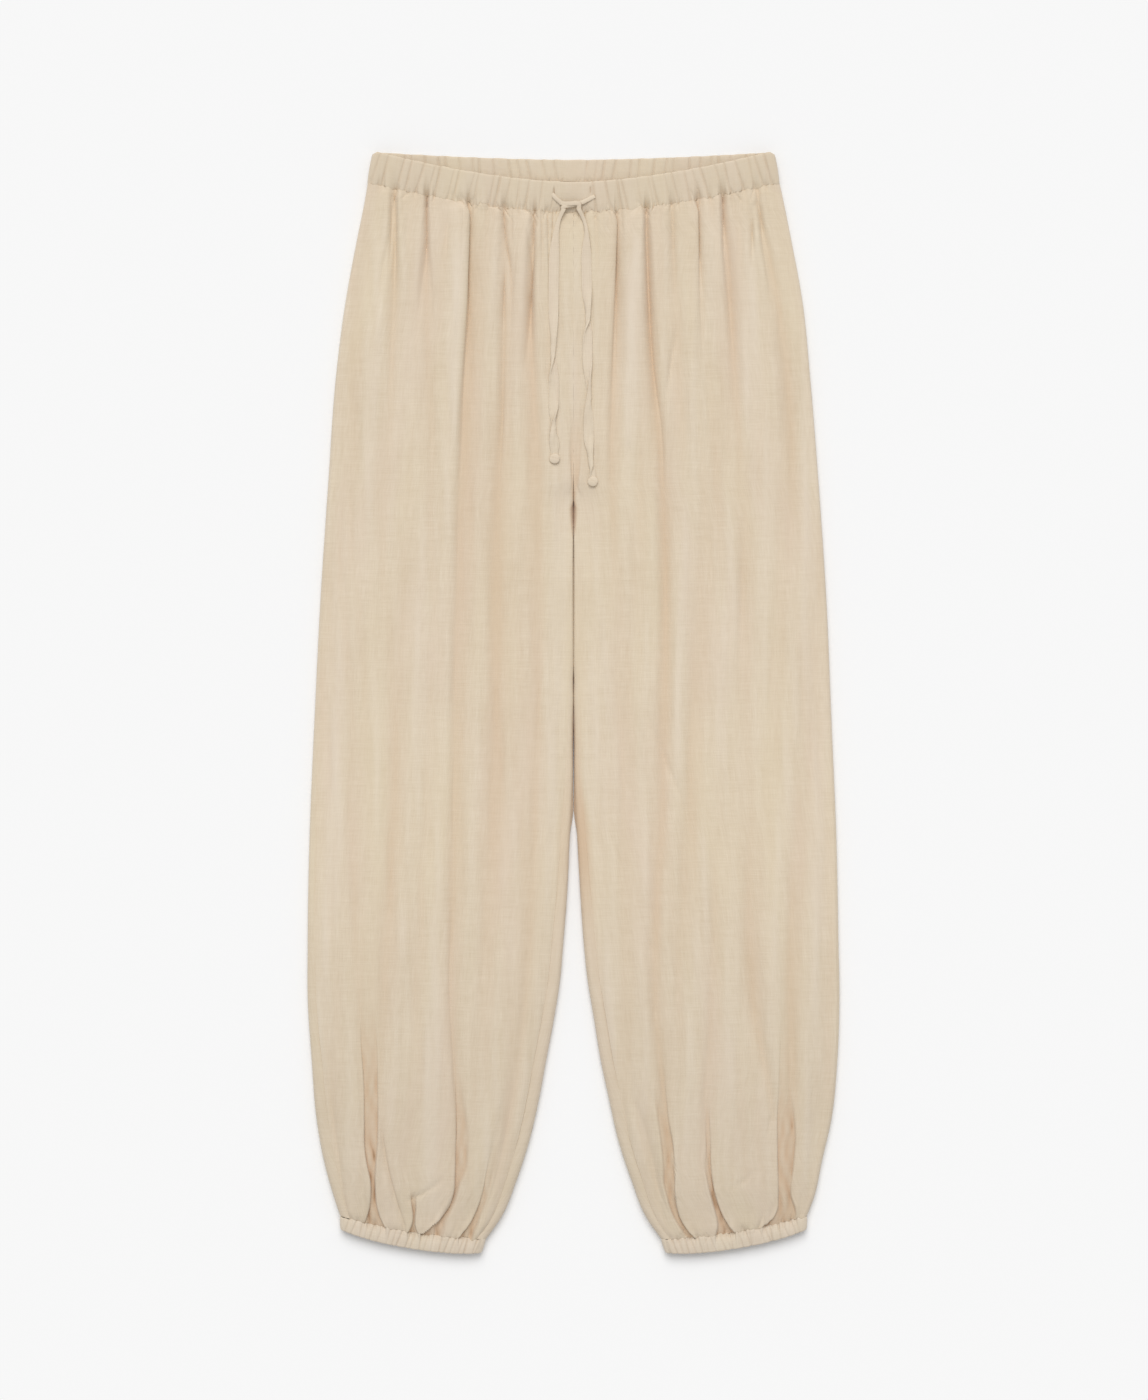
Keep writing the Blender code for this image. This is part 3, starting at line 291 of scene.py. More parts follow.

# %% [markdown]
# ## Creases drawn one by one
# Between the long folds lie shorter ones: branches that leave a fold, pleats that the cuff's elastic
# pulls together, and diagonal creases where the cloth was pressed. Each is a stroke on the photograph:
# a few pixels with the crease's depth there, its width on either side and its sharpness. A negative depth
# is a ridge. The depth at a point of the cloth follows from its distance to the nearest part of the
# stroke.

# %% Strokes
STROKES = (  # points (pixel across, pixel down, depth in mm), width left, width right, sharpness
    # upper left: branches of the outer folds
    (((391, 225, 0), (384, 262, 1.2), (380, 290, 1), (376, 330, 0)), 3, 3, 1.6),
    (((394, 225, 0), (395, 270, 1.2), (394, 322, 1), (391, 390, 0.5), (386, 470, 0.3), (384, 538, 0)),
      4, 4, 1.6),
    (((427, 236, 0), (422, 278, 1.4), (419, 306, 1), (416, 345, 0)), 4, 4, 1.7),
    (((428, 232, 0), (431, 280, 1.4), (434, 339, 1), (433, 420, 0.6), (431, 521, 0)), 4, 3.5, 1.6),
    (((531, 300, 1.4), (529, 325, 1.6), (527, 346, 1.2), (524, 380, 0)), 4, 3, 1.6),
    (((505, 290, 0.8), (504, 340, 0.8), (503, 400, 1.4), (502.5, 425, 1.6), (500, 470, 0.8),
      (498, 560, 0.4), (499, 640, 0)), 3.2, 1.9, 1.5),
    (((448, 210, 0), (447, 226, 1.3), (446, 262, 0.7), (445, 320, 0)), 3, 3, 1.5),
    (((356, 200, 0), (352, 230, 0.9), (346, 300, 0.6), (340, 420, 0)), 5, 5, 1.8),
    # the slit that a strong fold leaves on its steep side
    (((467, 203, 0.6), (467, 240, 1.5), (468, 300, 1.3), (465, 360, 0.5), (462, 438, 0.3),
      (459, 505, 0)), 1, 2.4, 1.2),
    (((457, 700, 0), (453, 790, 0.4), (453, 899, 0.5), (449, 979, 0.6), (452, 1039, 0.8),
      (455, 1090, 0.8), (455, 1130, 0)), 1.4, 3.6, 1.3),
    (((426, 205, 0.6), (427, 232, 1), (427, 262, 0)), 1.6, 1.6, 1.3),
    (((534, 222, 0.8), (534, 258, 1.3), (533, 280, 2.4), (532, 306, 1.3), (533, 350, 0)), 1.6, 1.4, 1.4),
    # lower left leg: pleats over the cuff
    (((378, 1110, 0), (384, 1144, 1), (391, 1179, 1.1), (398, 1204, 1), (405, 1226, 0.4)), 4, 1, 1.3),
    (((409, 1200, 1.4), (424, 1193, 1), (437, 1184, 0.8), (448, 1177, 0)), 1.6, 1.6, 1.3),
    (((325, 1060, 0), (335, 1130, 0.8), (343, 1190, 1), (349, 1222, 0.4)), 3, 3, 1.5),
    (((506, 1080, 0), (497, 1130, 0.7), (484, 1180, 1), (476, 1215, 0.6), (470, 1232, 0)), 4, 4, 1.7),
    # centre: the valley that opens towards the crotch
    (((570, 206, 0.6), (571, 218, 0.7), (574, 238, 0.5), (576, 300, 0.6), (576, 400, 0.5),
      (576, 450, 0.6), (575, 480, 0)), 7, 7, 2),
    (((547, 211, 1.4), (548, 232, 1.3), (549, 275, 0.6), (550, 320, 0)), 1.5, 1.5, 1.4),
    (((553, 211, 1.2), (552, 232, 1.1), (551, 262, 0)), 1.3, 1.3, 1.4),
    (((503, 207, 1.2), (506, 240, 1.9), (511, 269, 1.7), (511, 312, 0.8), (508, 360, 0)), 1.6, 2.4, 1.4),
    (((507, 256, 0), (504, 285, 1.2), (503, 320, 0.6), (502, 345, 0)), 1.6, 1.6, 1.4),
    (((391, 196, 0.5), (391, 225, 1.2), (390, 250, 0.8), (387, 275, 0)), 1.6, 1.6, 1.4),
    (((397, 200, 0.5), (396, 240, 1.3), (396, 262, 0.8), (395, 285, 0)), 1.6, 1.6, 1.4),
    (((753, 205, 0.5), (752, 235, 1.2), (752, 262, 0.6), (753, 290, 0)), 1.8, 1.8, 1.4),
    (((760, 205, 0.7), (762, 240, 1.4), (767, 275, 0.8), (771, 300, 0)), 2, 2, 1.4),
    (((541, 213, 0.9), (542, 240, 0.8), (543, 262, 0)), 1.3, 1.3, 1.4),
    (((526, 228, 0), (529, 245, 1.1), (532, 262, 0.6), (533, 275, 0)), 1.4, 1.4, 1.4),
    (((512, 208, 0.8), (512, 232, 0.9), (513, 255, 0)), 1.4, 1.4, 1.4),
    # puckers that run across the waist seam
    (((449, 192, 0), (457, 198, 1), (464, 205, 1.2), (468, 212, 0.5)), 1.2, 1.2, 1.3),
    (((458, 192, 0), (463, 199, 1), (467, 206, 0.8)), 1, 1, 1.3),
    (((477, 195, 0), (470, 201, 0.9), (467, 208, 0.6)), 1, 1, 1.3),
    (((485, 202, 0), (494, 206, 0.9), (502, 211, 0.5)), 1, 1, 1.3),
    (((513, 202, 0), (507, 208, 0.8), (503, 213, 0.8), (503, 222, 0)), 1, 1, 1.3),
    (((518, 204, 0), (526, 210, 1), (534, 217, 1.2), (537, 226, 0.5)), 1.2, 1.2, 1.3),
    (((529, 202, 0), (535, 211, 1), (538, 219, 0.8)), 1, 1, 1.3),
    (((550, 205, 0), (545, 212, 0.9), (543, 220, 0.6)), 1, 1, 1.3),
    (((423, 184, 0), (426, 196, 1.2), (427, 206, 1)), 1.4, 1.4, 1.3),
    (((403, 185, 0), (397, 192, 0.8), (394, 200, 0.8)), 1, 1, 1.3),
    (((606, 202, 0), (612, 209, 0.9), (615, 217, 0.8)), 1, 1, 1.3),
    (((635, 199, 0), (641, 206, 0.9), (645, 214, 0.8)), 1, 1, 1.3),
    (((653, 199, 0), (648, 206, 0.9), (646, 214, 0.6)), 1, 1, 1.3),
    (((689, 188, 0), (694, 197, 0.9), (697, 206, 0.9)), 1, 1, 1.3),
    (((717, 184, 0), (721, 193, 1.2), (723, 202, 1.2)), 1.4, 1.4, 1.3),
    (((758, 181, 0), (753, 190, 0.8), (751, 200, 0.8)), 1, 1, 1.3),
    (((518, 212, 0.6), (517, 235, 0.7), (514, 275, 0.5), (512, 320, 0)), 2, 2, 1.5),
    (((595, 211, 0.6), (596, 240, 0.6), (598, 280, 0)), 1.6, 1.6, 1.4),
    (((603, 210, 0.5), (604, 240, 0.5), (604, 268, 0)), 1.6, 1.6, 1.4),
    (((672, 204, 0.7), (673, 236, 0.9), (675, 280, 0.6), (676, 330, 0)), 2.2, 2.2, 1.5),
    (((487, 208, 0.5), (487, 240, 0.5), (486, 290, 0)), 2, 2, 1.5),
    (((740, 192, 0.5), (741, 226, 0.5), (744, 262, 0)), 2, 2, 1.5),
    (((408, 192, 0.5), (407, 226, 0.5), (404, 262, 0)), 2, 2, 1.5),
    (((562, 212, 0.8), (559, 240, 0.5), (558, 300, 0)), 2.5, 4, 1.5),
    (((583, 214, 0.8), (588, 240, 0.6), (592, 300, 0.4), (597, 380, 0)), 4, 2.5, 1.5),
    # upper right: branches and the slits of the strong folds
    (((615, 214, 0.8), (615, 240, 1.5), (616, 290, 1.1), (615, 350, 0.4), (612, 430, 0)), 1, 2.4, 1.2),
    (((645, 206, 0.8), (645, 235, 1.5), (646.5, 270, 1.2), (648, 310, 0.5), (650, 340, 0)), 1, 3.8, 1.3),
    (((649, 262, 0), (650, 300, 0.9), (652, 345, 1.2), (656, 385, 1.3), (662, 430, 0.8), (664, 520, 0.4),
      (668, 640, 0)), 3.2, 1.3, 1.3),
    (((680, 318, 0), (674, 345, 1), (669, 375, 1.2), (664, 405, 0.6), (661, 425, 0)), 2.5, 2.5, 1.5),
    (((697, 200, 1), (698, 232, 1.4), (700, 262, 1), (703, 300, 0)), 1.4, 2.2, 1.3),
    (((723, 198, 1.4), (723, 230, 2.2), (724, 262, 1), (728, 300, 0.6), (732, 360, 0)), 2, 2, 1.3),
    (((750, 200, 0), (752, 224, 1.2), (756, 270, 0.7), (764, 330, 0)), 3, 3, 1.5),
    (((790, 236, 0), (797, 290, 0.8), (806, 350, 0.7), (812, 420, 0)), 4, 4, 1.7),
    (((693, 235, -0.4), (692, 330, -0.9), (691, 400, -0.9), (694, 470, -0.3)), 4, 4, 2),
    (((628, 440, 0), (634, 470, 0.8), (638, 540, 0.6), (642, 620, 0)), 5, 5, 1.8),
    (((742, 470, 0), (744, 540, 0.8), (740, 640, 0.5), (736, 720, 0)), 5, 5, 1.8),
    # middle right: pressed diagonals
    (((641, 700, 0), (658, 742, 0.7), (680, 795, 0.6), (697, 840, 0)), 2.2, 2.2, 1.5),
    (((615, 445, 0), (632, 452, 0.6), (648, 462, 0)), 1.8, 1.8, 1.5),
    (((645, 931, 0), (650, 944, 0.6), (655, 955, 0)), 1.6, 1.6, 1.5),
    (((665, 1011, 0), (685, 1015, 0.5), (708, 1023, 0)), 1.6, 1.6, 1.5),
    (((647, 1090, 0), (656, 1105, 1), (664, 1120, 0.3)), 1.6, 1.6, 1.4),
    # lower right leg: pleats over the cuff
    (((780, 1166, 0), (785, 1165, -0.5), (791, 1166, 0)), 1.5, 1.5, 1.6),
    (((779, 1105, 0), (770, 1122, 0.7), (765, 1140, 0)), 1.5, 1.5, 1.4),
    (((728, 1188, 0), (744, 1181, 0.7), (758, 1170, 0)), 1.5, 1.5, 1.5),
    (((740, 1222, 0), (746, 1234, 1.2), (754, 1243, 0)), 2, 2, 1.4),
    (((764, 1210, 0), (760, 1224, 1), (756, 1236, 0)), 2, 2, 1.4),
    (((802, 1190, 0), (801, 1210, 1), (800, 1226, 0.4)), 2.5, 2.5, 1.5),
    (((630, 1090, 0), (645, 1130, 0.9), (655, 1170, 1), (662, 1210, 0.7), (668, 1240, 0)), 4, 4, 1.7),
    (((676, 1085, 0), (694, 1081, 0.6), (712, 1079, 0)), 1.5, 1.5, 1.5),
)
STROKE_DEPTH = 1.6  # all strokes are deepened by this factor
STROKE_STEP = 6.0  # between the points of a smoothed stroke
STROKE_REACH = 3.0  # how many widths away from its line a stroke still counts


def smooth_line(points, step):
    """Points about so far apart on a smooth curve through the given ones."""
    points = np.asarray(points, float)
    gaps = np.linalg.norm(np.diff(points[:, :2], axis=0), axis=1)
    places = np.concatenate([[0.0], np.cumsum(gaps)])
    fine = np.linspace(0, places[-1], max(2, round(places[-1] / step) + 1))
    return np.stack([along(places, points[:, i], fine) for i in range(points.shape[1])], axis=1)


def stroke_relief(x, y):
    """How deep the strokes press into the cloth at points seen from above, in mm."""
    total = np.zeros(x.shape)
    for points, left, right, power in STROKES:
        line = smooth_line([(*spot(px, py), depth) for px, py, depth in points], STROKE_STEP)
        reach = STROKE_REACH * max(left, right)
        low, high = line[:, :2].min(axis=0) - reach, line[:, :2].max(axis=0) + reach
        near = (x > low[0]) & (x < high[0]) & (y > low[1]) & (y < high[1])
        here = np.stack([x[near], y[near]], axis=1)
        gap = np.full(len(here), np.inf)
        depth, rightwards = np.zeros(len(here)), np.zeros(len(here))
        for start, end in zip(line, line[1:]):
            run = end[:2] - start[:2]
            t = np.clip((here - start[:2]) @ run / (run @ run), 0, 1)
            off = here - start[:2] - t[:, None] * run
            distance = np.hypot(off[:, 0], off[:, 1])
            closer = distance < gap
            gap = np.where(closer, distance, gap)
            depth = np.where(closer, lerp(start[2], end[2], t), depth)
            side = (run[0] * off[:, 1] - run[1] * off[:, 0]) * (1 if run[1] < 0 else -1)
            rightwards = np.where(closer, side, rightwards)
        width = np.where(rightwards < 0, left, right)
        total[near] += STROKE_DEPTH * depth * bell(gap, width, power)
    return total


print("strokes:", len(STROKES))

# %% [markdown]
# ## Recesses above the cuffs
# Where the elastic gathers a wide leg into a small cuff, the cloth stands in full round lobes, and between
# two lobes a strip of cloth lies deep and flat. Such a recess narrows to a slit and opens again at the
# cuff, where the lobes round off. It is drawn by its two edges: a few levels, the left and the right edge
# there and the depth. One edge is usually crisp and the other soft.

# %% Recesses
RECESSES = (  # levels (pixel down, left edge, right edge, depth in mm), softness in mm left and right
    # the valley above the crotch
    (((395, 572, 580, 0), (430, 570.5, 582, 0.5), (455, 570, 581, 1), (475, 571, 579.5, 1.6),
      (488, 571.5, 577.5, 2.2), (500, 572.5, 575.5, 2.6), (512, 573, 574.5, 0)), 2.4, 2.8),
    # viewer's left leg
    (((1010, 361, 374, 0), (1040, 360.5, 377, 0.9), (1085, 363.3, 378, 1.8), (1123, 363.8, 378.3, 2.2),
      (1150, 364, 377.5, 2.6), (1167, 366.5, 376, 2.8), (1180, 369.5, 375.5, 3), (1193, 370, 376, 3),
      (1207, 369, 377.5, 2.8), (1220, 365, 381.5, 2.4), (1238, 356, 392, 2.6)), 0.9, 1.8),
    (((1190, 410.5, 411.5, 0), (1200, 410.5, 416, 1.4), (1208, 411.5, 416.5, 2),
      (1217, 412.5, 415.5, 2.3), (1226, 411, 415.5, 2.5), (1238, 403, 420, 2.6)), 0.8, 1.8),
    (((1070, 454.5, 459, 0), (1098, 455, 463, 0.8), (1120, 455.2, 467, 1.4), (1150, 454.8, 468, 1.7),
      (1172, 453.2, 466, 2), (1184, 453, 459.5, 2.2), (1195, 452.3, 456.5, 2.3),
      (1205, 449.5, 453.5, 2.4), (1213, 444.5, 449.5, 2.4), (1220, 438.5, 446, 2.5),
      (1228, 429.5, 443.5, 2.5), (1238, 414, 441, 2.5)), 0.7, 5),
    (((1150, 490, 498, 0), (1175, 485.5, 493, 0.9), (1198, 480.5, 487, 1.7), (1215, 474, 480.5, 2.2),
      (1225, 468.5, 477, 2.4), (1240, 457, 472, 2.4)), 0.9, 3.5),
    # viewer's right leg
    (((1060, 655, 664, 0), (1100, 655, 667, 0.7), (1123, 658, 669.5, 1.5), (1144, 661, 673.5, 2),
      (1167, 663, 675, 2.3), (1184, 663.5, 675.3, 2.5), (1198, 667, 675.8, 2.6), (1210, 670.5, 678, 2.6),
      (1220, 675, 681.5, 2.6), (1231, 682, 689, 2.6), (1242, 690, 700.5, 2.6)), 2.6, 0.8),
    (((1100, 706, 709, 0), (1122, 705.5, 710, 0.8), (1150, 705, 711, 1.3), (1167, 704.5, 711.5, 1.8),
      (1184, 707.5, 713.5, 2.8), (1204, 712.5, 718.5, 3.4), (1215, 715.5, 723, 2.8),
      (1226, 717.5, 730, 2.8), (1242, 714, 744, 2.8)), 2.2, 0.9),
    (((1020, 780, 790, 0), (1060, 779, 791, 0.5), (1095, 778, 791, 0.9), (1112, 777, 794, 1.6),
      (1137, 777, 796, 2), (1165, 777.2, 794, 2.1), (1198, 777.7, 792, 2.3), (1210, 776.8, 796, 2.4),
      (1220, 771, 797, 2.4), (1232, 757, 798, 2.4)), 1.4, 2.2),
)
RECESS_BANK = 0.3  # height of the bank beside a recess, as a share of its depth
BANK_REACH = 3.0
FULL_DEPTH = 2.5  # a recess of this depth counts as 1
UNEVEN_DEPTH = 0.14  # how uneven a recess's depth is, as a share of it


def recess_ripple(x, y):
    """Small unevenness of a recess's bottom, round 0."""
    return ripple(x, y, 11, 18, 51)


def recess_relief(x, y):
    """Height that the recesses add at points seen from above, and how far each point lies in one."""
    height, inside = np.zeros(x.shape), np.zeros(x.shape)
    for levels, soft_left, soft_right in RECESSES:
        down, left, right, depth = np.array(levels[::-1], dtype=float).T
        rise = spot(0, down)[1]
        left, right = (along(rise, spot(edge, 0)[0], y) for edge in (left, right))
        depth = along(rise, depth, y) * (y < rise[-1])
        share = ease((x - left) / soft_left + 0.5) * ease((right - x) / soft_right + 0.5)
        depth = depth * (1 + UNEVEN_DEPTH * recess_ripple(x, y) * (y < CROTCH_Y))
        beyond = np.maximum(np.maximum(left - x, x - right), 0)
        height += depth * (RECESS_BANK * (1 - share) * bell(beyond, BANK_REACH) - share)
        inside = np.maximum(inside, share * depth / FULL_DEPTH)
    return height, inside


print("recesses:", len(RECESSES))

# %% [markdown]
# ## Gathers
# Elastic in a casing draws the cloth into dozens of small gathers. Each leaves a short dent on both sides
# of the seam: in the casing it leans towards the middle, and in the panel it fades out after a few
# centimetres. One list of places serves both sides, so a dent runs on across the seam as the real one does.

# %% Places of the gathers
FRONT_GATHERS, BACK_GATHERS, CUFF_GATHERS = 40, 35, 22
PLAIN_PATCH_HALF = 14.0  # ungathered cloth between the buttonholes
# How far a gather strays from an even spacing, how strong it is and how far it leans, each drawn at random
STRAY, STRENGTHS, LEANS = (-0.3, 0.3), (0.55, 1.0), (0.4, 1.0)
SHORTEST_GATHER, LONGER_GATHER = 12, 55  # length that all gathers have, and what some have more


def gather_places(count, start, end, seed):
    """Uneven places of gathers between two ends, each with a strength, a lean and a length."""
    draw = np.random.default_rng(seed)
    pitch = (end - start) / count
    rows = []
    for i in range(count):
        place = start + pitch * (i + 0.5 + draw.uniform(*STRAY))
        strength, lean = draw.uniform(*STRENGTHS), draw.uniform(*LEANS)
        rows.append((place, strength, lean, SHORTEST_GATHER + LONGER_GATHER * draw.uniform() ** 2))
    return np.array(rows)


FRONT_PLACES = gather_places(FRONT_GATHERS, -BAND_SEAM_HALF, BAND_SEAM_HALF, 11)
FRONT_PLACES = FRONT_PLACES[np.abs(FRONT_PLACES[:, 0]) > PLAIN_PATCH_HALF + 1]
BACK_PLACES = gather_places(BACK_GATHERS, -BAND_SEAM_HALF, BAND_SEAM_HALF, 12)
CUFF_PLACES = {"right": gather_places(CUFF_GATHERS, 0, 1, 13), "left": gather_places(CUFF_GATHERS, 0, 1, 14)}
print("gathers on the front band:", len(FRONT_PLACES))

# %% [markdown]
# ## One level of a leg
# A leg is a flattened tube. At each level the back panel lies flat, rolls up round both edges, and meets
# the front panel at seams a few millimetres in from the outline. This class holds one level's sizes and
# gives the tube's path: along the flat underside, round an edge, and over the top.

# %% Level
SEWN_DROP = 1.2  # the sewn centre seam lies so far below the crown
SAG_POWER = 6  # the cuff seam's sag belongs to the lowest rows


class Level:
    """One row of a leg, from its inner edge to its outer edge."""

    def __init__(self, side, share, below_crotch):
        self.side, self.share, self.below_crotch = side, share, below_crotch
        if below_crotch:
            self.y_outer = lerp(CROTCH_Y, CUFF_SEAM_OUTER_Y, share)
            self.y_inner = lerp(CROTCH_Y, CUFF_SEAM_INNER_Y, share)
            self.above_cuff = (1 - share) * (CROTCH_Y - CUFF_SEAM_INNER_Y)
            self.below_waist = ABOVE_ALL
        else:
            self.y_outer = self.y_inner = lerp(WAIST_SEAM_Y, CROTCH_Y, share)
            self.above_cuff = ABOVE_ALL
            self.below_waist = share * (WAIST_SEAM_Y - CROTCH_Y)
        self.outer = float(read(OUTER, side, self.y_outer)) - WALL / 2
        gap = max(float(read(INNER, side, self.y_inner)), HALF_GAP)
        self.inner = gap + WALL / 2 if below_crotch else 0.0
        self.radius = float(read(BODY, "edge_radius", self.y_outer))
        above = self.y_inner - CROTCH_Y
        self.sewn = 0.0 if below_crotch else float(ease(above / CROTCH_CURL))
        self.curl = 0.0 if below_crotch else math.pi / 2 * (1 - self.sewn)
        self.inner_radius = float(read(BODY, "edge_radius", min(self.y_inner, CROTCH_Y)))
        self.tangent = self.inner + self.inner_radius
        self.edge_z = WALL / 2 + 2 * self.inner_radius
        touching = ease((TOUCH_TOP - self.y_inner) / TOUCH_TOP_RUN)
        touching = touching * ease((self.y_inner - TOUCH_END) / TOUCH_END_RUN)
        self.snug = float(touching) if below_crotch else 0.0
        if not below_crotch:
            self.tangent = HALF_GAP + (WALL / 2 + self.inner_radius) * math.sin(self.curl)
            crown = float(read(BODY, "crown", self.y_inner)) - SEWN_DROP
            self.edge_z = lerp(self.edge_z, crown, self.sewn)

    def row_y(self, x, front):
        """Height up the leg at distance x from the centre line."""
        share = np.clip((x - self.inner) / (self.outer - self.inner), 0, 1)
        y = lerp(self.y_inner, self.y_outer, share)
        if self.below_crotch:
            return y - CUFF_SEAM_SAG * np.sin(math.pi * share) * self.share**SAG_POWER
        dip = -BAND_DIP_SEAM if front else BAND_BACK_RISE_SEAM
        return y + dip * waist_dip(share) * (1 - self.share)

    def body_z(self, x, y):
        """Middle of the front wall without its folds, and how free it is of its edges."""
        crown = read(BODY, "crown", y)
        from_inner, from_outer = x - self.tangent, self.outer - self.radius - x
        inner_z = lerp(self.edge_z, crown, ease(from_inner / SHELF_RUN))
        outer_z = lerp(WALL / 2 + 2 * self.radius, crown, ease(from_outer / SHELF_RUN))
        return np.minimum(inner_z, outer_z), np.minimum(from_inner, from_outer)

    def rolled(self, length, inner):
        """Point on a rolled edge, by its length from where the flat underside ends: distance, height."""
        inward = 1 if inner else -1
        tangent = self.tangent if inner else self.outer - self.radius
        radius = self.inner_radius if inner else self.radius
        turn = np.clip(length / radius, 0, math.pi)
        top = self.edge_z if inner else WALL / 2 + 2 * radius
        raised = np.where(turn > math.pi / 2, top - WALL / 2 - 2 * radius, 0.0)
        x = tangent - inward * radius * np.sin(turn)
        beyond = length - turn * radius  # below 0 on the flat underside and above it on top
        x = x + np.where(beyond < 0, -inward * beyond, inward * beyond)
        return x, WALL / 2 + radius * (1 - np.cos(turn)) + raised

    def pressed(self, x, z):
        """Distances with the top of the inner edge pressed squarer, where the legs touch each other."""
        off = np.maximum(x - self.inner, 0)
        upper = z > WALL / 2 + self.inner_radius
        return x - upper * self.snug * PRESSED_EDGE * off * np.clip(1 - off / (2 * self.inner_radius), 0, 1)

    def seam_lengths(self, front):
        """Lengths along the rolled edges from the underside to the panel's inner and outer seam."""
        gap = HALF_GAP if front else -HALF_GAP
        if self.below_crotch:
            inset = max(float(read(SEAM_INSET, "inseam", self.y_inner)), 0.0)
            inner = seam_length(inset, self.inner_radius) + gap
        else:
            turn = math.pi - self.curl if front else self.curl
            inner = self.inner_radius * turn + gap * self.curl / (math.pi / 2)
        inset = max(float(read(SEAM_INSET, "outseam_" + self.side, self.y_outer)), 0.0)
        return inner, seam_length(inset, self.radius) + gap


def waist_dip(share):
    """0 at the side and 1 at the centre, for a share of the half width."""
    return 1 - np.abs(share) ** BAND_DIP_POWER


def seam_length(inset, radius):
    """Length along a rolled edge, from the underside to a seam that lies this far in from the edge."""
    if inset < radius:
        return radius * (math.pi / 2 + math.acos(1 - inset / radius))
    return math.pi * radius + inset - radius


print("half width at the waist:", Level("right", 0.0, False).outer, "mm")

# %% [markdown]
# ## Rows of points
# The rows lie close together near the waistband and the cuffs, where gathers need fine detail, and wider
# apart between. The columns crowd round the troughs in the same way, because a steep fold needs points
# every half millimetre and a smooth stretch doesn't.

# %% Rows and columns
FINE_STEP, STEP_GROWTH, COARSE_STEP = 1.0, 0.055, 7.0
TOP_COLUMNS, EDGE_COLUMNS = 262, 7
FINE_COLUMNS = 800  # places across a row at which its steepness is looked at
CROWDING, STEEPEST = 2.6, 1.2
EVEN_ACROSS, EVEN_DOWN = 12, 2  # times that the crowding is averaged across the rows and down them


def spaced_shares(length):
    """Shares of a length from 0 to 1, with steps that grow away from its start."""
    places = [0.0]
    while places[-1] < length:
        places.append(places[-1] + min(FINE_STEP + STEP_GROWTH * places[-1], COARSE_STEP))
    return np.array(places) / places[-1]


def leg_levels(side):
    """Rows of a leg from the waistband down to the cuff."""
    above = spaced_shares(WAIST_SEAM_Y - CROTCH_Y)
    below = 1 - spaced_shares(CROTCH_Y - CUFF_SEAM_INNER_Y)[::-1][1:]
    return [Level(side, s, False) for s in above] + [Level(side, s, True) for s in below]


def of_levels(side, name):
    """One of the sizes of a leg's levels, as a column beside its rows of points."""
    return np.array([getattr(level, name) for level in LEVELS[side]])[:, None]


def edge_arcs(level):
    """Distances and heights of a row's rolled edges, from the inner seam and to the outer one."""
    inner_seam, outer_seam = level.seam_lengths(True)
    inner_bend = max(math.pi * level.inner_radius, inner_seam + 2)
    outer_bend = max(math.pi * level.radius, outer_seam + 2)
    inner = level.rolled(np.linspace(inner_seam, inner_bend, EDGE_COLUMNS), True)
    return inner, level.rolled(np.linspace(outer_bend, outer_seam, EDGE_COLUMNS), False)


def averaged(values, times, axis):
    """Values after some averaging with their neighbours along an axis."""
    values = np.moveaxis(values, axis, 0)
    for _ in range(times):
        padded = np.concatenate([values[:1], values, values[-1:]])
        values = (padded[:-2] + 2 * values + padded[2:]) / 4
    return np.moveaxis(values, 0, axis)


def crowded_columns(side):
    """Places across each row between its rolled edges, close together where the cloth is steep."""
    arcs = [edge_arcs(level) for level in LEVELS[side]]
    starts = np.array([[inner[0][-1]] for inner, outer in arcs])
    ends = np.array([[outer[0][0]] for inner, outer in arcs])
    x = lerp(starts, ends, np.linspace(0, 1, FINE_COLUMNS))
    y = np.array([level.row_y(row, True) for level, row in zip(LEVELS[side], x)])
    height = fold_relief(side, x, y)[0] - stroke_relief(x * FACING[side], y)
    height = height + recess_relief(x * FACING[side], y)[0]
    slope = np.abs(np.gradient(height, axis=1)) / np.gradient(x, axis=1)
    weight = averaged(1 + CROWDING * np.minimum(slope, STEEPEST), EVEN_ACROSS, 1)
    total = np.cumsum(averaged(weight, EVEN_DOWN, 0), axis=1)
    wanted = np.linspace(total[:, 0], total[:, -1], TOP_COLUMNS, axis=1)
    return [np.interp(*row)[1:-1] for row in zip(wanted, total, x)]


print("columns of a front:", TOP_COLUMNS + 2 * EDGE_COLUMNS - 2)

# %% [markdown]
# ## The surface of a front
# Everything that gives a front its form comes together here: the body's height, the main folds, the
# strokes, the gathers under the waistband and over the cuff, a puff where the cloth swells beside a seam,
# and soft long waves. The seams lie in a narrow groove, since two edges are turned in under them. The
# result is a grid of points with the cloth's own measure across and down, which the weave follows.

# %% Front surface
# Gathers: half width of a dent and its roundness, its depth at the two seams, and the cuff's half width
GATHER_WIDTH, GATHER_POWER, WAIST_GATHER_DEPTH, CUFF_GATHER_DEPTH = 2.0, 1.6, 1.3, 1.1
CUFF_HALF_WIDTH = 65.0
# Puckers along this much of a seam on either side of its middle, so far apart and so deep
PUCKER_SPAN, PUCKER_PITCH, PUCKER_DEPTH, PUCKER_POWER = 300, 3.6, 1.0, 1.5
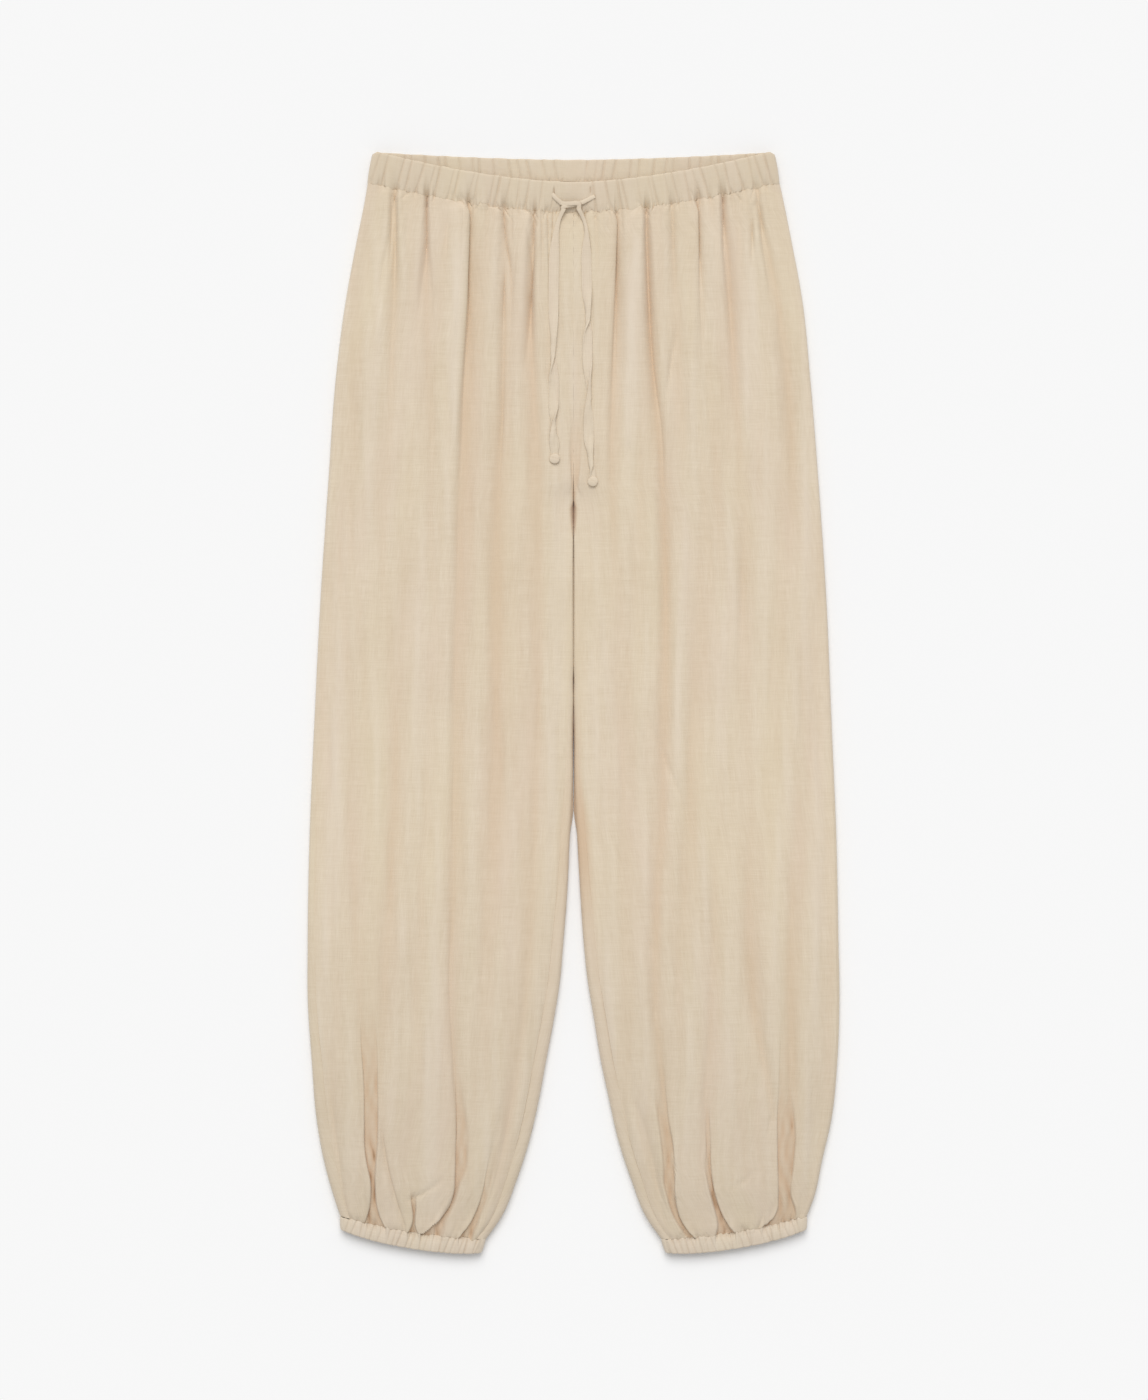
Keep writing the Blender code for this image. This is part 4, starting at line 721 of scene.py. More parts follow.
# Random parts of a pucker: stray, depth, width, slant, and its lengths above and below the seam
PUCKER_SPREADS = ((-1.8, 1.8), (0, 1), (0.6, 1.2), (-0.8, 0.8), (2, 7), (3, 11))
WAIST_PUCKERS, CUFF_SHIFT = 1.4, 2.0  # more depth at the waist, and another start at the cuffs
SEAM_WAVES = ((0.75, 21, 41), (0.6, 6.5, 42))  # of a gathered seam: height, pitch and seed
SOFT_WAVES = ((0.55, 38, 320, 3), (0.22, 13, 120, 4), (0.07, 9, 11, 5))  # height, pitches and seed
EDGE_SHADE = {"right": 2.5, "left": 8.0}  # warm shade on the rolled inner edges below the crotch
EDGE_SHADE_Y, EDGE_SHADE_RUN = -115, 80  # where it is strongest, and its reach from there
EDGE_WIDENING = (5, 11, 60, 60)  # its width above and below, where that grows and its run
CLEFT_SHADE, CLEFT_WIDTH = 7.0, 1.5  # warm shade in the cleft between the fronts
SEWN_FREE = 14.0  # the centre seam holds the cloth as if it lay so far from an edge
FOLD_FREE, PUFF_FREE = 12.0, 8.0  # so far from an edge the folds and the puffs have their full height
FALL_RUN, SIDE_RUN, WAVE_RUN = 8.0, 12.0, 8.0  # lengths over which a seam's wander, a lean and waves set in
LOBE_FALL, LOBE_RISE = 1.5, 0.2  # how far a lobe falls over the cuff and how high it stands there
LOBE_WAVE = (0.75, 0.25, 30, 6)  # its usual size, its unevenness, and the pitch and seed of that
LOBE_REACH, LOBE_TURN = 14.0, 2.0  # how far up a lobe reaches, and where its lower edge turns under
CUFF_WANDER = 0.7  # how much of a seam's wander a cuff has
WAIST_PUFF, CUFF_PUFF = (0.3, 8, 30), (1.1, 9, 50)  # height of the swell, and its rise and fall
TUCK, TUCK_RUN = 0.05, 1.2  # how deep the cuff's stitches pull the cloth in
# Painted shade: how much the forms darken and warm the cloth's colour, and raised waves lighten it as painted
# light
STROKE_SHADE, RECESS_SHADE, RECESS_UNEVEN, GATHER_SHADE, WAVE_SHADE = 0.3, 6.3, 0.2, 0.6, 1.3
WAVE_SHADE_RUN, SEAM_SHADE, SEAM_SHADE_RUN = 60, 0.8, 16


def panel_gathers(places, at, away):
    """Dents that gathers leave in a panel, for places along the seam and lengths away from it."""
    dent = np.zeros(at.shape)
    for place, strength, _, length in places:
        dent += strength * fading(away, length) * bell(at - place, GATHER_WIDTH, GATHER_POWER)
    return dent


def pucker_rows():
    """Uneven puckers along a seam: place, depth, width, slant, and lengths above and below it."""
    draw = np.random.default_rng(17)
    rows = []
    for middle in np.arange(-PUCKER_SPAN, PUCKER_SPAN, PUCKER_PITCH):
        stray, depth, *rest = (draw.uniform(*spread) for spread in PUCKER_SPREADS)
        rows.append((middle + stray, depth**PUCKER_POWER, *rest))
    return rows


PUCKERS = pucker_rows()


def puckers(place, rise):
    """Small slanting dents that the stitches pull in on both sides of a seam, in mm."""
    dent = np.zeros(np.broadcast(place, rise).shape)
    for middle, depth, width, slant, above, below in PUCKERS:
        reach = np.where(rise > 0, above, below)
        dent += depth * bell(place - middle - slant * rise, width) * bell(rise, reach)
    return PUCKER_DEPTH * dent


def edge_shade(side, away, y):
    """Warm shade on the rolled inner edge, which grows wider down the leg and then fades."""
    width = change(-y, *EDGE_WIDENING)
    return EDGE_SHADE[side] * bell(away, width, 4) * bell(y - EDGE_SHADE_Y, EDGE_SHADE_RUN)


def seam_wander(spread):
    """How far a gathered seam wanders up and down, in mm."""
    return sum(height * ripple(spread, spread, pitch, LONG, seed) for height, pitch, seed in SEAM_WAVES)


def seam_puff(away, rise, fall):
    """The swell of cloth beside a gathered seam: up over the first length, then away over the second."""
    return np.sin(math.pi / 2 * np.minimum(away / rise, 1.0)) * bell(away, fall)


def front_row(level, top_x):
    """One row of a front: distances, heights up the leg, base heights and how free each point is."""
    (inner_x, inner_z), (outer_x, outer_z) = edge_arcs(level)
    x = np.concatenate([inner_x, top_x, outer_x])
    y = level.row_y(x, True)
    z, free = level.body_z(x, y)
    arcs = np.concatenate([inner_z, np.zeros(len(top_x)), outer_z])
    z = np.where(free < 0, arcs, z)
    x = level.pressed(x, z)
    return np.maximum(x, HALF_GAP + WALL / 2 * math.sin(level.curl)), y, z, free


def front_grid(side):
    """Middle surface of a front, at distances from the centre line, and how much painted shade each point
    gets.
    """
    x, y, z, free = (np.array(part) for part in zip(*map(front_row, LEVELS[side], crowded_columns(side))))
    names = ("inner", "outer", "below_waist", "above_cuff", "sewn", "snug")
    inner, outer, below, above, sewn, snug = (of_levels(side, name) for name in names)
    screen_x = x * FACING[side]
    free = free + SEWN_FREE * sewn * (x < outer / 2)
    near_seam = np.minimum(below, above)
    open_, unheld = ease(free / FOLD_FREE), ease(free / PUFF_FREE)
    hold = open_ * lerp(SEAM_FOLD_SHARE, 1.0, ease(near_seam / SEAM_ONSET))
    folds, depth, shift = fold_relief(side, x, y)
    strokes = stroke_relief(screen_x, y)
    recess, inside = recess_relief(screen_x, y)
    waves = sum(height * ripple(screen_x, y, *pitches, seed) for height, *pitches, seed in SOFT_WAVES)
    # what the seams do to the cloth beside them
    spread = screen_x / outer * BAND_SEAM_HALF
    cuff_at = np.clip((x - inner) / (outer - inner), 0, 1) * 2 * CUFF_HALF_WIDTH
    cuff_places = CUFF_PLACES[side] * (2 * CUFF_HALF_WIDTH, 1, 1, 1)
    gathers = WAIST_GATHER_DEPTH * panel_gathers(FRONT_PLACES, spread, below)
    gathers += CUFF_GATHER_DEPTH * panel_gathers(cuff_places, cuff_at, 2 * above)
    gathers += WAIST_PUCKERS * puckers(spread, -below) + puckers(screen_x + CUFF_SHIFT, above)
    usual, more, pitch, seed = LOBE_WAVE
    lobe = np.clip(1 - 2 * inside, 0, 1) * unheld * bell(above, LOBE_REACH)
    lobe = lobe * (usual + more * ripple(screen_x, y, pitch, LONG, seed))
    puff = WAIST_PUFF[0] * seam_puff(below, *WAIST_PUFF[1:])
    puff = puff + (CUFF_PUFF[0] + LOBE_RISE * lobe) * seam_puff(above, *CUFF_PUFF[1:])
    # the places of the points
    z = z + hold * folds + open_ * (ease(near_seam / WAVE_RUN) * waves - strokes + recess)
    z = z + unheld * (puff - TUCK * fading(above, TUCK_RUN) - gathers)
    x = x + FACING[side] * hold * ease(near_seam / SIDE_RUN) * shift
    y = y + seam_wander(spread) * fading(below, FALL_RUN)
    y = y - LOBE_FALL * lobe * (1 - fading(above, LOBE_TURN))
    y = y + CUFF_WANDER * seam_wander(screen_x) * fading(above, FALL_RUN)
    # painted shade that the colour goes by: darker and warmer in folds, strokes, recesses and gathers, on the
    # inner edge, in the cleft and below the waist seam, with painted light on raised waves
    cleft = CLEFT_SHADE * bell(x - inner, CLEFT_WIDTH) * (above < ABOVE_ALL) * (x < 20) * (1 - snug)
    shown = np.where(above < ABOVE_ALL, open_, 1.0)
    uneven = 1 + RECESS_UNEVEN * recess_ripple(screen_x, y)
    shade_amount = hold * depth + shown * (STROKE_SHADE * np.maximum(strokes, 0) + RECESS_SHADE * inside * uneven)
    shade_amount = shade_amount + GATHER_SHADE * gathers + edge_shade(side, x - inner, y) + cleft
    shade_amount = shade_amount - WAVE_SHADE * waves * ease(near_seam / WAVE_SHADE_RUN)
    return np.stack([x, y, z], axis=2), shade_amount + SEAM_SHADE * fading(below, SEAM_SHADE_RUN)


LEVELS = {side: leg_levels(side) for side in ("right", "left")}
FRONTS = {side: front_grid(side) for side in ("right", "left")}
print("points of a front:", FRONTS["right"][0].shape[:2])

# %% [markdown]
# ## Normals and the cloth's own measure
# A wall gets its thickness along the surface's normals, worked out from the neighbours of each point. The
# normals of a blurred copy are used, so the inside of a sharp crease doesn't cross itself. The cloth's own
# measure runs across a row and down a column, in metres, from the middle of the panel.

# %% Normals and measure
GROOVE_DEPTH, GROOVE_WIDTH = 0.5, 1.5
SEAM_BANK, SEAM_BANK_PLACE, SEAM_BANK_WIDTH = 0.14, 4.5, 2.2  # where the turned edge ends


def blurred(grid, times):
    """The grid after averaging each point with its neighbours, a few times."""
    for _ in range(times):
        padded = np.pad(grid, ((1, 1), (1, 1), (0, 0)), mode="edge")
        sides = padded[:-2, 1:-1] + padded[2:, 1:-1] + padded[1:-1, :-2] + padded[1:-1, 2:]
        inner = (sides + 4 * grid) / 8
        inner[[0, -1]], inner[:, [0, -1]] = grid[[0, -1]], grid[:, [0, -1]]
        grid = inner
    return grid


def normals(grid):
    """Unit normals of a grid of points, to the left of its rows when its columns run down."""
    down, across = np.gradient(grid, axis=0), np.gradient(grid, axis=1)
    normal = np.cross(down, across)
    return normal / np.linalg.norm(normal, axis=2, keepdims=True)


def row_lengths(grid):
    """Length across the cloth from the start of its row to each point, in mm."""
    steps = np.linalg.norm(np.diff(grid, axis=1), axis=2)
    return np.concatenate([np.zeros((len(grid), 1)), np.cumsum(steps, axis=1)], axis=1)


def cloth_measure(grid):
    """Length across and down the cloth at each point, in metres, as a grid of vectors."""
    across = row_lengths(grid)
    across = across - across[:, across.shape[1] // 2][:, None]
    return np.stack([across, grid[..., 1], np.zeros(across.shape)], axis=2) * MM


def groove(away):
    """Height beside a seam: a narrow groove, and a low bank where the turned edge ends."""
    bank = SEAM_BANK * bell(away - SEAM_BANK_PLACE, SEAM_BANK_WIDTH)
    return bank - GROOVE_DEPTH * bell(away, GROOVE_WIDTH)


print("groove at a seam:", round(float(groove(0.0)), 2), "mm")

# %% [markdown]
# ## Meshes
# Every piece is one closed mesh. A wall joins two grids, the outside and the inside, with a rim. A
# sweep joins closed loops one after another, as a tape or a casing is. After that one test settles which
# way the faces point: a closed mesh with its faces outwards has a positive volume.

# %% Mesh helpers
NORMAL_BLUR = 3  # times that a grid is blurred before its normals are taken
SHARP_ANGLE = 60


def quads(index):
    """Faces between the rows and columns of a grid of point numbers."""
    return np.stack([index[:-1, :-1], index[1:, :-1], index[1:, 1:], index[:-1, 1:]], axis=-1).reshape(-1, 4)


def volume(points, faces):
    """Signed volume of a closed mesh of polygons."""
    total = 0.0
    for face in faces:
        corners = points[np.asarray(face)]
        for i in range(1, corners.shape[-2] - 1):
            a, b, c = corners[..., 0, :], corners[..., i, :], corners[..., i + 1, :]
            total += float(np.sum(np.cross(a, b) * c)) / 6
    return total


def make_piece(name, points, faces, measures):
    """A smooth closed mesh from points in mm, a list of arrays of faces, and values for each point."""
    if volume(points, faces) < 0:
        faces = [face[..., ::-1] for face in faces]
    polygons = [polygon for face in faces for polygon in np.atleast_2d(face).tolist()]
    mesh = bpy.data.meshes.new(name)
    mesh.from_pydata((points * MM).tolist(), [], polygons)
    for key, values in measures.items():
        kind = "FLOAT_VECTOR" if values.ndim == 2 else "FLOAT"
        layer = mesh.attributes.new(key, kind, "POINT")
        layer.data.foreach_set("vector" if values.ndim == 2 else "value", values.astype(np.float32).ravel())
    mesh.shade_smooth()
    mesh.set_sharp_from_angle(angle=math.radians(SHARP_ANGLE))
    piece = bpy.data.objects.new(name, mesh)
    bpy.context.scene.collection.objects.link(piece)
    return piece


def wall_piece(name, middle, thickness, grain, fold_shading):
    """A wall of even thickness round a grid of points, with a rim."""
    direction = normals(blurred(middle, NORMAL_BLUR)) * thickness / 2
    size = middle.shape[0] * middle.shape[1]
    index = np.arange(size).reshape(middle.shape[:2])
    border = np.concatenate([index[0, :-1], index[:-1, -1], index[-1, :0:-1], index[:0:-1, 0]])
    after = np.roll(border, -1)
    rim = np.stack([border, after, after + size, border + size], axis=1)
    points = np.concatenate([(middle + direction).reshape(-1, 3), (middle - direction).reshape(-1, 3)])
    measures = {"grain": np.tile(grain.reshape(-1, 3), (2, 1)), "fold_shading": np.tile(fold_shading.ravel(), 2)}
    return make_piece(name, points, [quads(index), quads(index + size)[:, ::-1], rim], measures)


def sweep_piece(name, loops, ring, grain, fold_shading):
    """A closed mesh through loops of points. ring joins the last loop to the first, instead of two caps."""
    stations, around = loops.shape[:2]
    index = np.arange(stations * around).reshape(stations, around)
    index = np.concatenate([index, index[:, :1]], axis=1)
    if ring:
        index = np.concatenate([index, index[:1]])
    faces = [quads(index)]
    if not ring:
        faces += [index[0, :-1], index[-1, :-1][::-1]]
    measures = {"grain": grain.reshape(-1, 3), "fold_shading": fold_shading.ravel()}
    return make_piece(name, loops.reshape(-1, 3), faces, measures)


print("ready to make walls and sweeps")

# %% [markdown]
# ## Fronts and backs as walls
# The back lies on the floor, so its creases only lift the cloth a little and never press below the floor.
# Both panels get the seam groove along their long edges. The right leg is made at the same distances and then
# turned over to its own side.

# %% Leg panels
BACK_COLUMNS = 56
FLAT_RUN = 6.0  # flat strip that is kept beside the centre seam
BACK_SEAM_LIFT, LIFT_RUN = 2.2, 9.0
OUTSEAM_GROOVE = {"right": 1.0, "left": 0.35}  # the left side seam is pressed flatter
CENTRE_GROOVE = (60, 0.15, 1.0)  # its run below the crotch, and its least and its full share
KNEE_Y = -120.0
BACK_CREASES = (  # distance at the waist, at the knee and at the cuff, height in mm, half width
    (42, 58, 96, 1.3, 9), (88, 84, 112, 0.8, 7), (118, 150, 138, 1.4, 10), (158, 196, 171, 1.0, 8),
)
CREASE_STRAY = 5.0  # how far a crease wanders
CREASE_HEIGHT = (0.6, 0.4, 0, 1.5)  # usual share of its height, its unevenness, and the limits of their sum
CREASE_FROM, CREASE_RUN = 12, 25  # a crease starts at this distance and sets in over this width
# Where the legs nearly touch, the lower part of a back swells inwards and closes the gap
SWELL_MORE, SWELL_WIDEST = 1.4, 2.0  # how far it goes beyond the gap, and the widest gap that it follows
SWELL_END, SWELL_END_RUN = 4, 2  # the gap without a swell, and the run before it
SWELL_RISE, SWELL_REACH, SWELL_REACH_RUN = 2, 14, 6  # its run in height, its reach and the run before that
NEAREST = 0.8  # of half a wall, which a back keeps from the centre line below the crotch
BACK_PUCKER = 0.6  # share of a pucker's depth on the back
PUCKER_SHADE, WAIST_SHADE, WAIST_SHADE_RUN = 3.0, 1.5, 6.0  # in puckers and below the waist seam
# Shade deep between the legs: how dark, how wide, up to which height, and from which level up
BETWEEN, BETWEEN_WIDTH, BETWEEN_TOP, BETWEEN_TOP_RUN = 12, 4, 4.3, 1.5
BETWEEN_FROM, BETWEEN_FROM_RUN, BETWEEN_ABOVE = -75, 35, 8


def back_row(level):
    """One row of a back: distances, heights up the leg and heights above the floor."""
    inner_seam, outer_seam = level.seam_lengths(False)
    inner_x, inner_z = level.rolled(np.linspace(inner_seam, -FLAT_RUN * level.sewn, EDGE_COLUMNS), True)
    outer_x, outer_z = level.rolled(np.linspace(0.0, outer_seam, EDGE_COLUMNS), False)
    flat_x = np.linspace(inner_x[-1], outer_x[0], BACK_COLUMNS)[1:-1]
    x = np.concatenate([inner_x, flat_x, outer_x])
    z = np.concatenate([inner_z, np.full(len(flat_x), WALL / 2), outer_z])
    gap = max(level.inner - WALL / 2 - HALF_GAP, 0.0)
    swell = (min(gap, SWELL_WIDEST) + SWELL_MORE) * float(ease((SWELL_END - gap) / SWELL_END_RUN))
    low = ease((level.radius - z) / SWELL_RISE) * ease((SWELL_REACH - x) / SWELL_REACH_RUN)
    x = level.pressed(x, z) - swell * (1 - level.sewn) * low
    x = np.maximum(x, HALF_GAP + NEAREST * WALL / 2 * (1 - level.sewn))
    return x, level.row_y(x, False), z


def back_grid(side):
    """Middle surface of a back, at distances from the centre line, and how deep each point is shaded."""
    x, y, z = (np.array(part) for part in zip(*map(back_row, LEVELS[side])))
    below, snug, inner = (of_levels(side, name) for name in ("below_waist", "snug", "inner"))
    usual, uneven, *limits = CREASE_HEIGHT
    share = np.clip(usual + uneven * ripple(x + y, y, 400, 170, 22), *limits)
    stray = CREASE_STRAY * ripple(y, 0 * y, 150, 400, 21)
    lift = np.zeros(x.shape)
    for waist, knee, cuff, height, half_width in BACK_CREASES:
        middle = along((CUFF_SEAM_INNER_Y, KNEE_Y, WAIST_SEAM_Y), (cuff, knee, waist), y) + stray
        lift += height * share * bell(x - middle, half_width)
    flat = ease((z < WALL) * np.minimum(x - CREASE_FROM, CREASE_RUN) / CREASE_RUN)
    seam_lift = (BACK_SEAM_LIFT + BAND_WALL - WALL) * waist_dip(np.minimum(x / BAND_SEAM_HALF, 1))
    lift = lift * flat + seam_lift * fading(below, LIFT_RUN)
    spread = x * FACING[side] / x.max(axis=1, keepdims=True) * BAND_SEAM_HALF
    pucker = puckers(spread, -below) * flat
    between = BETWEEN * bell(x, BETWEEN_WIDTH) * ease((BETWEEN_TOP - z) / BETWEEN_TOP_RUN) * (1 - snug)
    between = between * ease((y - BETWEEN_FROM) / BETWEEN_FROM_RUN) * (y < CROTCH_Y + BETWEEN_ABOVE)
    shade = between + edge_shade(side, x - inner, y) + WAIST_SHADE * fading(below, WAIST_SHADE_RUN)
    return np.stack([x, y, z + lift - BACK_PUCKER * pucker], axis=2), shade + PUCKER_SHADE * pucker


def leg_panel(name, side, grid, shade_amount, outward):
    """A panel of a leg from its middle surface. outward is 1 where the outside lies up, and -1 down."""
    inner = row_lengths(grid)
    outer = inner[:, -1:] - inner
    run, *limits = CENTRE_GROOVE
    centre = np.clip((CROTCH_Y - grid[:, :1, 1]) / run, *limits)  # the centre seam is pressed flat
    share = np.where(inner < outer, centre, OUTSEAM_GROOVE[side])
    height = share * groove(np.minimum(inner, outer))
    grid = grid + outward * height[..., None] * normals(blurred(grid, NORMAL_BLUR))
    grain = cloth_measure(grid)
    if side == "right":
        grid = grid * (-1, 1, 1)
    grid[0, :, 1] -= HALF_GAP
    grid[-1, :, 1] += HALF_GAP
    return wall_piece(name, grid, WALL, grain, shade_amount)


print("creases of a back:", len(BACK_CREASES))

# %% [markdown]
# ## The waistband
# The waistband is a casing: cloth folded over a wide elastic and sewn down, in a front and a back half
# that meet at the sides. When the elastic draws in, the casing crimps into thin creases with soft cushions
# between them, its top edge goes wavy, and its seam puckers. Each half is swept from side to side: at every
# station a closed loop runs up the outside, over the top edge and down the inside.

# %% Waistband
BAND_COLUMNS, TURN_COLUMNS = 900, 8
# Thin creases in a casing: half width, depth and lean towards the middle in mm, and their roundness
BAND_GATHER_WIDTH, BAND_GATHER_DEPTH, BAND_LEAN, CREASE_POWER = 1.0, 1.7, 6.0, 1.3
CREASE_LEAST, CREASE_FULL = 0.35, 60  # share at the far edge, which grows with the gather's length
CREASE_MOST = 1.1  # creases that meet are no deeper than this share
BACK_PLAIN_HALF, PLAIN_RUN = 9.0, 5  # half of the back's plain middle, and the run to full creases
BAND_SWELL = 0.45
EDGE_WAVE, EDGE_WAVE_PITCH = 0.3, 16  # of the top edge
BUTTONHOLES = ((-17.6, 457.7, 464.0), (15.3, 459.5, 464.4))  # place across, lower and upper end
SLIT_HALF, RIM_PLACE, RIM_HALF = 0.55, 1.5, 0.6  # of a buttonhole and its stitched rim
RIM_HEIGHT = 0.3
SHOWN_SINK, HIDDEN_SINK, MOST_RISE = -1.0, -0.5, 1.0  # limits of a casing's relief
SEAM_DROP, SEAM_POWER, WANDER_POWER, LIFT_POWER = 0.3, 3, 4, 2  # how a casing's lower edge follows its panels
INSIDE_SEAM_HEIGHT, INSIDE_SEAM_FROM = 5, 9  # of the shade on the back's inner seam, beside its middle
CORNER_DROP, CORNER_SHARE = 2.5, 0.025  # how much the top's corners are rounded, over a share of the half
# Painted shade: how much the creases, stitches, strokes, inner seam and buttonhole slits darken the colour,
# and how much darker the rims are
CREASE_SHADE, STITCH_SHADE, BAND_STROKE_SHADE, INSIDE_SEAM_SHADE, BUTTONHOLE_SHADE, RIM_DARK = 3.0, 1.6, 0.4, 2.0, 6, 0.8
# A casing's section: share of its height, then share of half its thickness, up the outside and down inside
OUTSIDE = (0.04, 0.09, 0.15, 0.21, 0.28, 0.34, 0.41, 0.48, 0.54, 0.60, 0.65, 0.70, 0.75, 0.80, 0.85, 0.90)
SECTION = np.array([(0.0, 0.75)] + [(share, 1) for share in OUTSIDE] + [
    (0.945, 0.97), (0.98, 0.75), (1.0, 0.3), (1.0, -0.3), (0.98, -0.75), (0.945, -0.97), (0.86, -1),
    (0.72, -1), (0.55, -1), (0.38, -1), (0.22, -1), (0.08, -1), (0.0, -0.75)])


def station_column(*parts):
    """Values for the stations of a casing, as a column beside its section."""
    return np.concatenate(parts)[:, None]


def casing_dents(places, at, height, width, lean):
    """Depth of the gathers in a casing at a place along it and a share of its height, from 0 to about 1."""
    dent = np.zeros(np.broadcast(at, height).shape)
    for place, strength, slant, length in places:
        middle = place + lean * slant * height
        reach = lerp(1.0, CREASE_LEAST + length / CREASE_FULL, height)
        dent += strength * np.minimum(reach, 1.0) * bell(at - middle, width, CREASE_POWER)
    return dent


def buttonholes(x, y):
    """How far each point lies in a buttonhole's slit and on its rim, from 0 to 1."""
    slit, rim = 0.0, 0.0
    for place, low, high in BUTTONHOLES:
        gap = np.hypot(x - place, np.maximum(np.maximum(low - y, y - high), 0))
        slit = slit + bell(gap, SLIT_HALF)
        rim = rim + bell(gap - RIM_PLACE, RIM_HALF)
    return slit, rim


def panel_edge(side, row):
    """Places across and heights of a front's first or last row, in rising order."""
    x, _, z = FRONTS[side][0][row].T
    order = np.argsort(x)
    return x[order], z[order]


def waist_seam_height(x):
    """Height of the panels' upper edge at places across the front."""
    right, left = panel_edge("right", 0), panel_edge("left", 0)
    return np.interp(x, np.concatenate([-right[0][::-1], left[0]]), np.concatenate([right[1][::-1], left[1]]))


def band_y(share, height, front):
    """Height of the waistband at a share of its half width, from its seam, 0, to its top edge, 1."""
    dip = waist_dip(np.clip(share, -1, 1))
    if front:
        seam, top = -BAND_DIP_SEAM * dip, BAND_HEIGHT - BAND_DIP_TOP * dip
    else:
        seam, top = BAND_BACK_RISE_SEAM * dip, BAND_HEIGHT - BAND_BACK_DIP_TOP * dip
    corner = CORNER_DROP * ease((np.abs(share) - (1 - CORNER_SHARE)) / CORNER_SHARE)
    return WAIST_SEAM_Y + HALF_GAP + lerp(seam, top - corner, height)


def band_loops(front):
    """Loops of one half of the waistband, its measure along and up the cloth, and the painted shade of its
    gathers, seams and buttonholes.
    """
    up = 1 if front else -1
    middle_z = BAND_FRONT_Z if front else BAND_WALL / 2
    radius = (BAND_FRONT_Z - BAND_WALL / 2) / 2
    turns = np.linspace(math.pi / 2 - HALF_GAP / radius, 0, TURN_COLUMNS + 1)[:-1]
    ends, straight = np.ones(len(turns)), np.zeros(BAND_COLUMNS)
    end = station_column(-ends, straight, ends)
    turn = station_column(turns, straight, turns[::-1])
    share = station_column(-ends, np.linspace(-1, 1, BAND_COLUMNS), ends)
    height, out = SECTION[:, 0][None], SECTION[:, 1][None]
    half = lerp(BAND_SEAM_HALF, BAND_TOP_HALF, height) - BAND_WALL / 2
    x = share * (half - radius) + end * radius * np.sin(turn)
    y = band_y(x / (half + 0.5 * (1 - height)), height, front)
    place = x / half * BAND_SEAM_HALF
    # what stands up and what is pressed in
    shown = (out > 0) == front  # the face that is seen from above
    places, up_section = (FRONT_PLACES, height) if front else (BACK_PLACES, 1 - height)
    dents = casing_dents(places, place, up_section, BAND_GATHER_WIDTH, -BAND_LEAN * np.sign(place))
    plain = PLAIN_PATCH_HALF if front else BACK_PLAIN_HALF
    dents = np.minimum(dents * ease((np.abs(place) - plain) / PLAIN_RUN), CREASE_MOST)
    stitch = puckers(place, height * BAND_HEIGHT)
    slit, rim = buttonholes(x, y) if front else (0.0, 0.0)
    strokes = stroke_relief(x, y) * (out > 0) if front else 0.0
    relief = np.where(shown, BAND_SWELL * np.sin(math.pi * height), 0.0) - BAND_GATHER_DEPTH * dents - stitch
    relief = relief - strokes + np.where(out > 0, RIM_HEIGHT * rim - slit, 0.0)
    relief = np.clip(relief, np.where(shown, SHOWN_SINK, HIDDEN_SINK), MOST_RISE)
    thickness = out * BAND_WALL / 2 + out * relief
    # the places of the points
    wave = 0.5 * ripple(place, place, EDGE_WAVE_PITCH, LONG, 31) - dents
    y = y + EDGE_WAVE * height**2 * wave + seam_wander(place) * (1 - height) ** WANDER_POWER * front
    z = middle_z - up * radius * (1 - np.cos(turn)) + up * np.cos(turn) * thickness
    if front:  # the seam edge goes up and down with the panels that it is sewn to
        lift = (waist_seam_height(x) - SEAM_DROP - middle_z) * (1 - height) ** SEAM_POWER
    else:  # inside the waist the seam's turned edges lift the back a little
        dip = waist_dip(np.minimum(np.abs(x) / BAND_SEAM_HALF, 1))
        lift = BACK_SEAM_LIFT * dip * (1 - height) ** LIFT_POWER
    loops = np.stack([x + end * np.sin(turn) * thickness, y, z + lift * (end == 0)], axis=2)
    grain = np.stack([place + 0 * y, height * BAND_HEIGHT + 0 * place, 0 * y], axis=2) * MM
    # painted shade that the colour goes by: in the creases, the stitches, the strokes, the back's inner seam
    # and the buttonhole slits
    inside_seam = (not front) * bell(height * BAND_HEIGHT, INSIDE_SEAM_HEIGHT)
    inside_seam = inside_seam * (np.abs(x) > INSIDE_SEAM_FROM)
    tint = CREASE_SHADE * dents + STITCH_SHADE * stitch + BAND_STROKE_SHADE * strokes + INSIDE_SEAM_SHADE * inside_seam
    return loops, grain, tint + np.where(out > 0, BUTTONHOLE_SHADE * slit + RIM_DARK * rim, 0.0)


BANDS = {"front": band_loops(True), "back": band_loops(False)}
print("stations of the waistband:", BANDS["front"][0].shape[0])

# %% [markdown]
# ## The cuffs
# A cuff is the same kind of casing, half as wide, sewn into a ring. It is swept once round: over the top,
# round the outer edge, back underneath and round the inner edge.

# %% Cuffs
CUFF_COLUMNS, CUFF_UNDER_COLUMNS = 420, 120
CUFF_GATHER_NARROW, CUFF_LEAN = 0.8, 0.045  # half width of a crease in mm, and its lean as a share
CUFF_PLAIN_END = 0.05  # share of the cuff at both edges over which its creases set in
CUFF_SWELL, SWELL_POWER = 0.5, 0.7  # height of its cushions and their roundness
CUFF_GATHER_SINK, CUFF_STITCH_SINK = 1.2, 0.8  # depth of its creases and of its stitches
OUTSIDE_SINK, INSIDE_SINK = -0.9, -0.4  # limits of a cuff's relief
CUFF_NARROWING, NARROWING_POWER = 0.22, 4  # share of its height that a cuff loses at its edges
HEM_WAVE, CUFF_DROP = 0.8, 0.2  # its hem goes up at a crease, and its seam lies below the panel
CUFF_CREASE_SHADE, CUFF_STITCH_SHADE = 2.2, 1.2  # painted shade: how much its creases and its stitches darken the colour


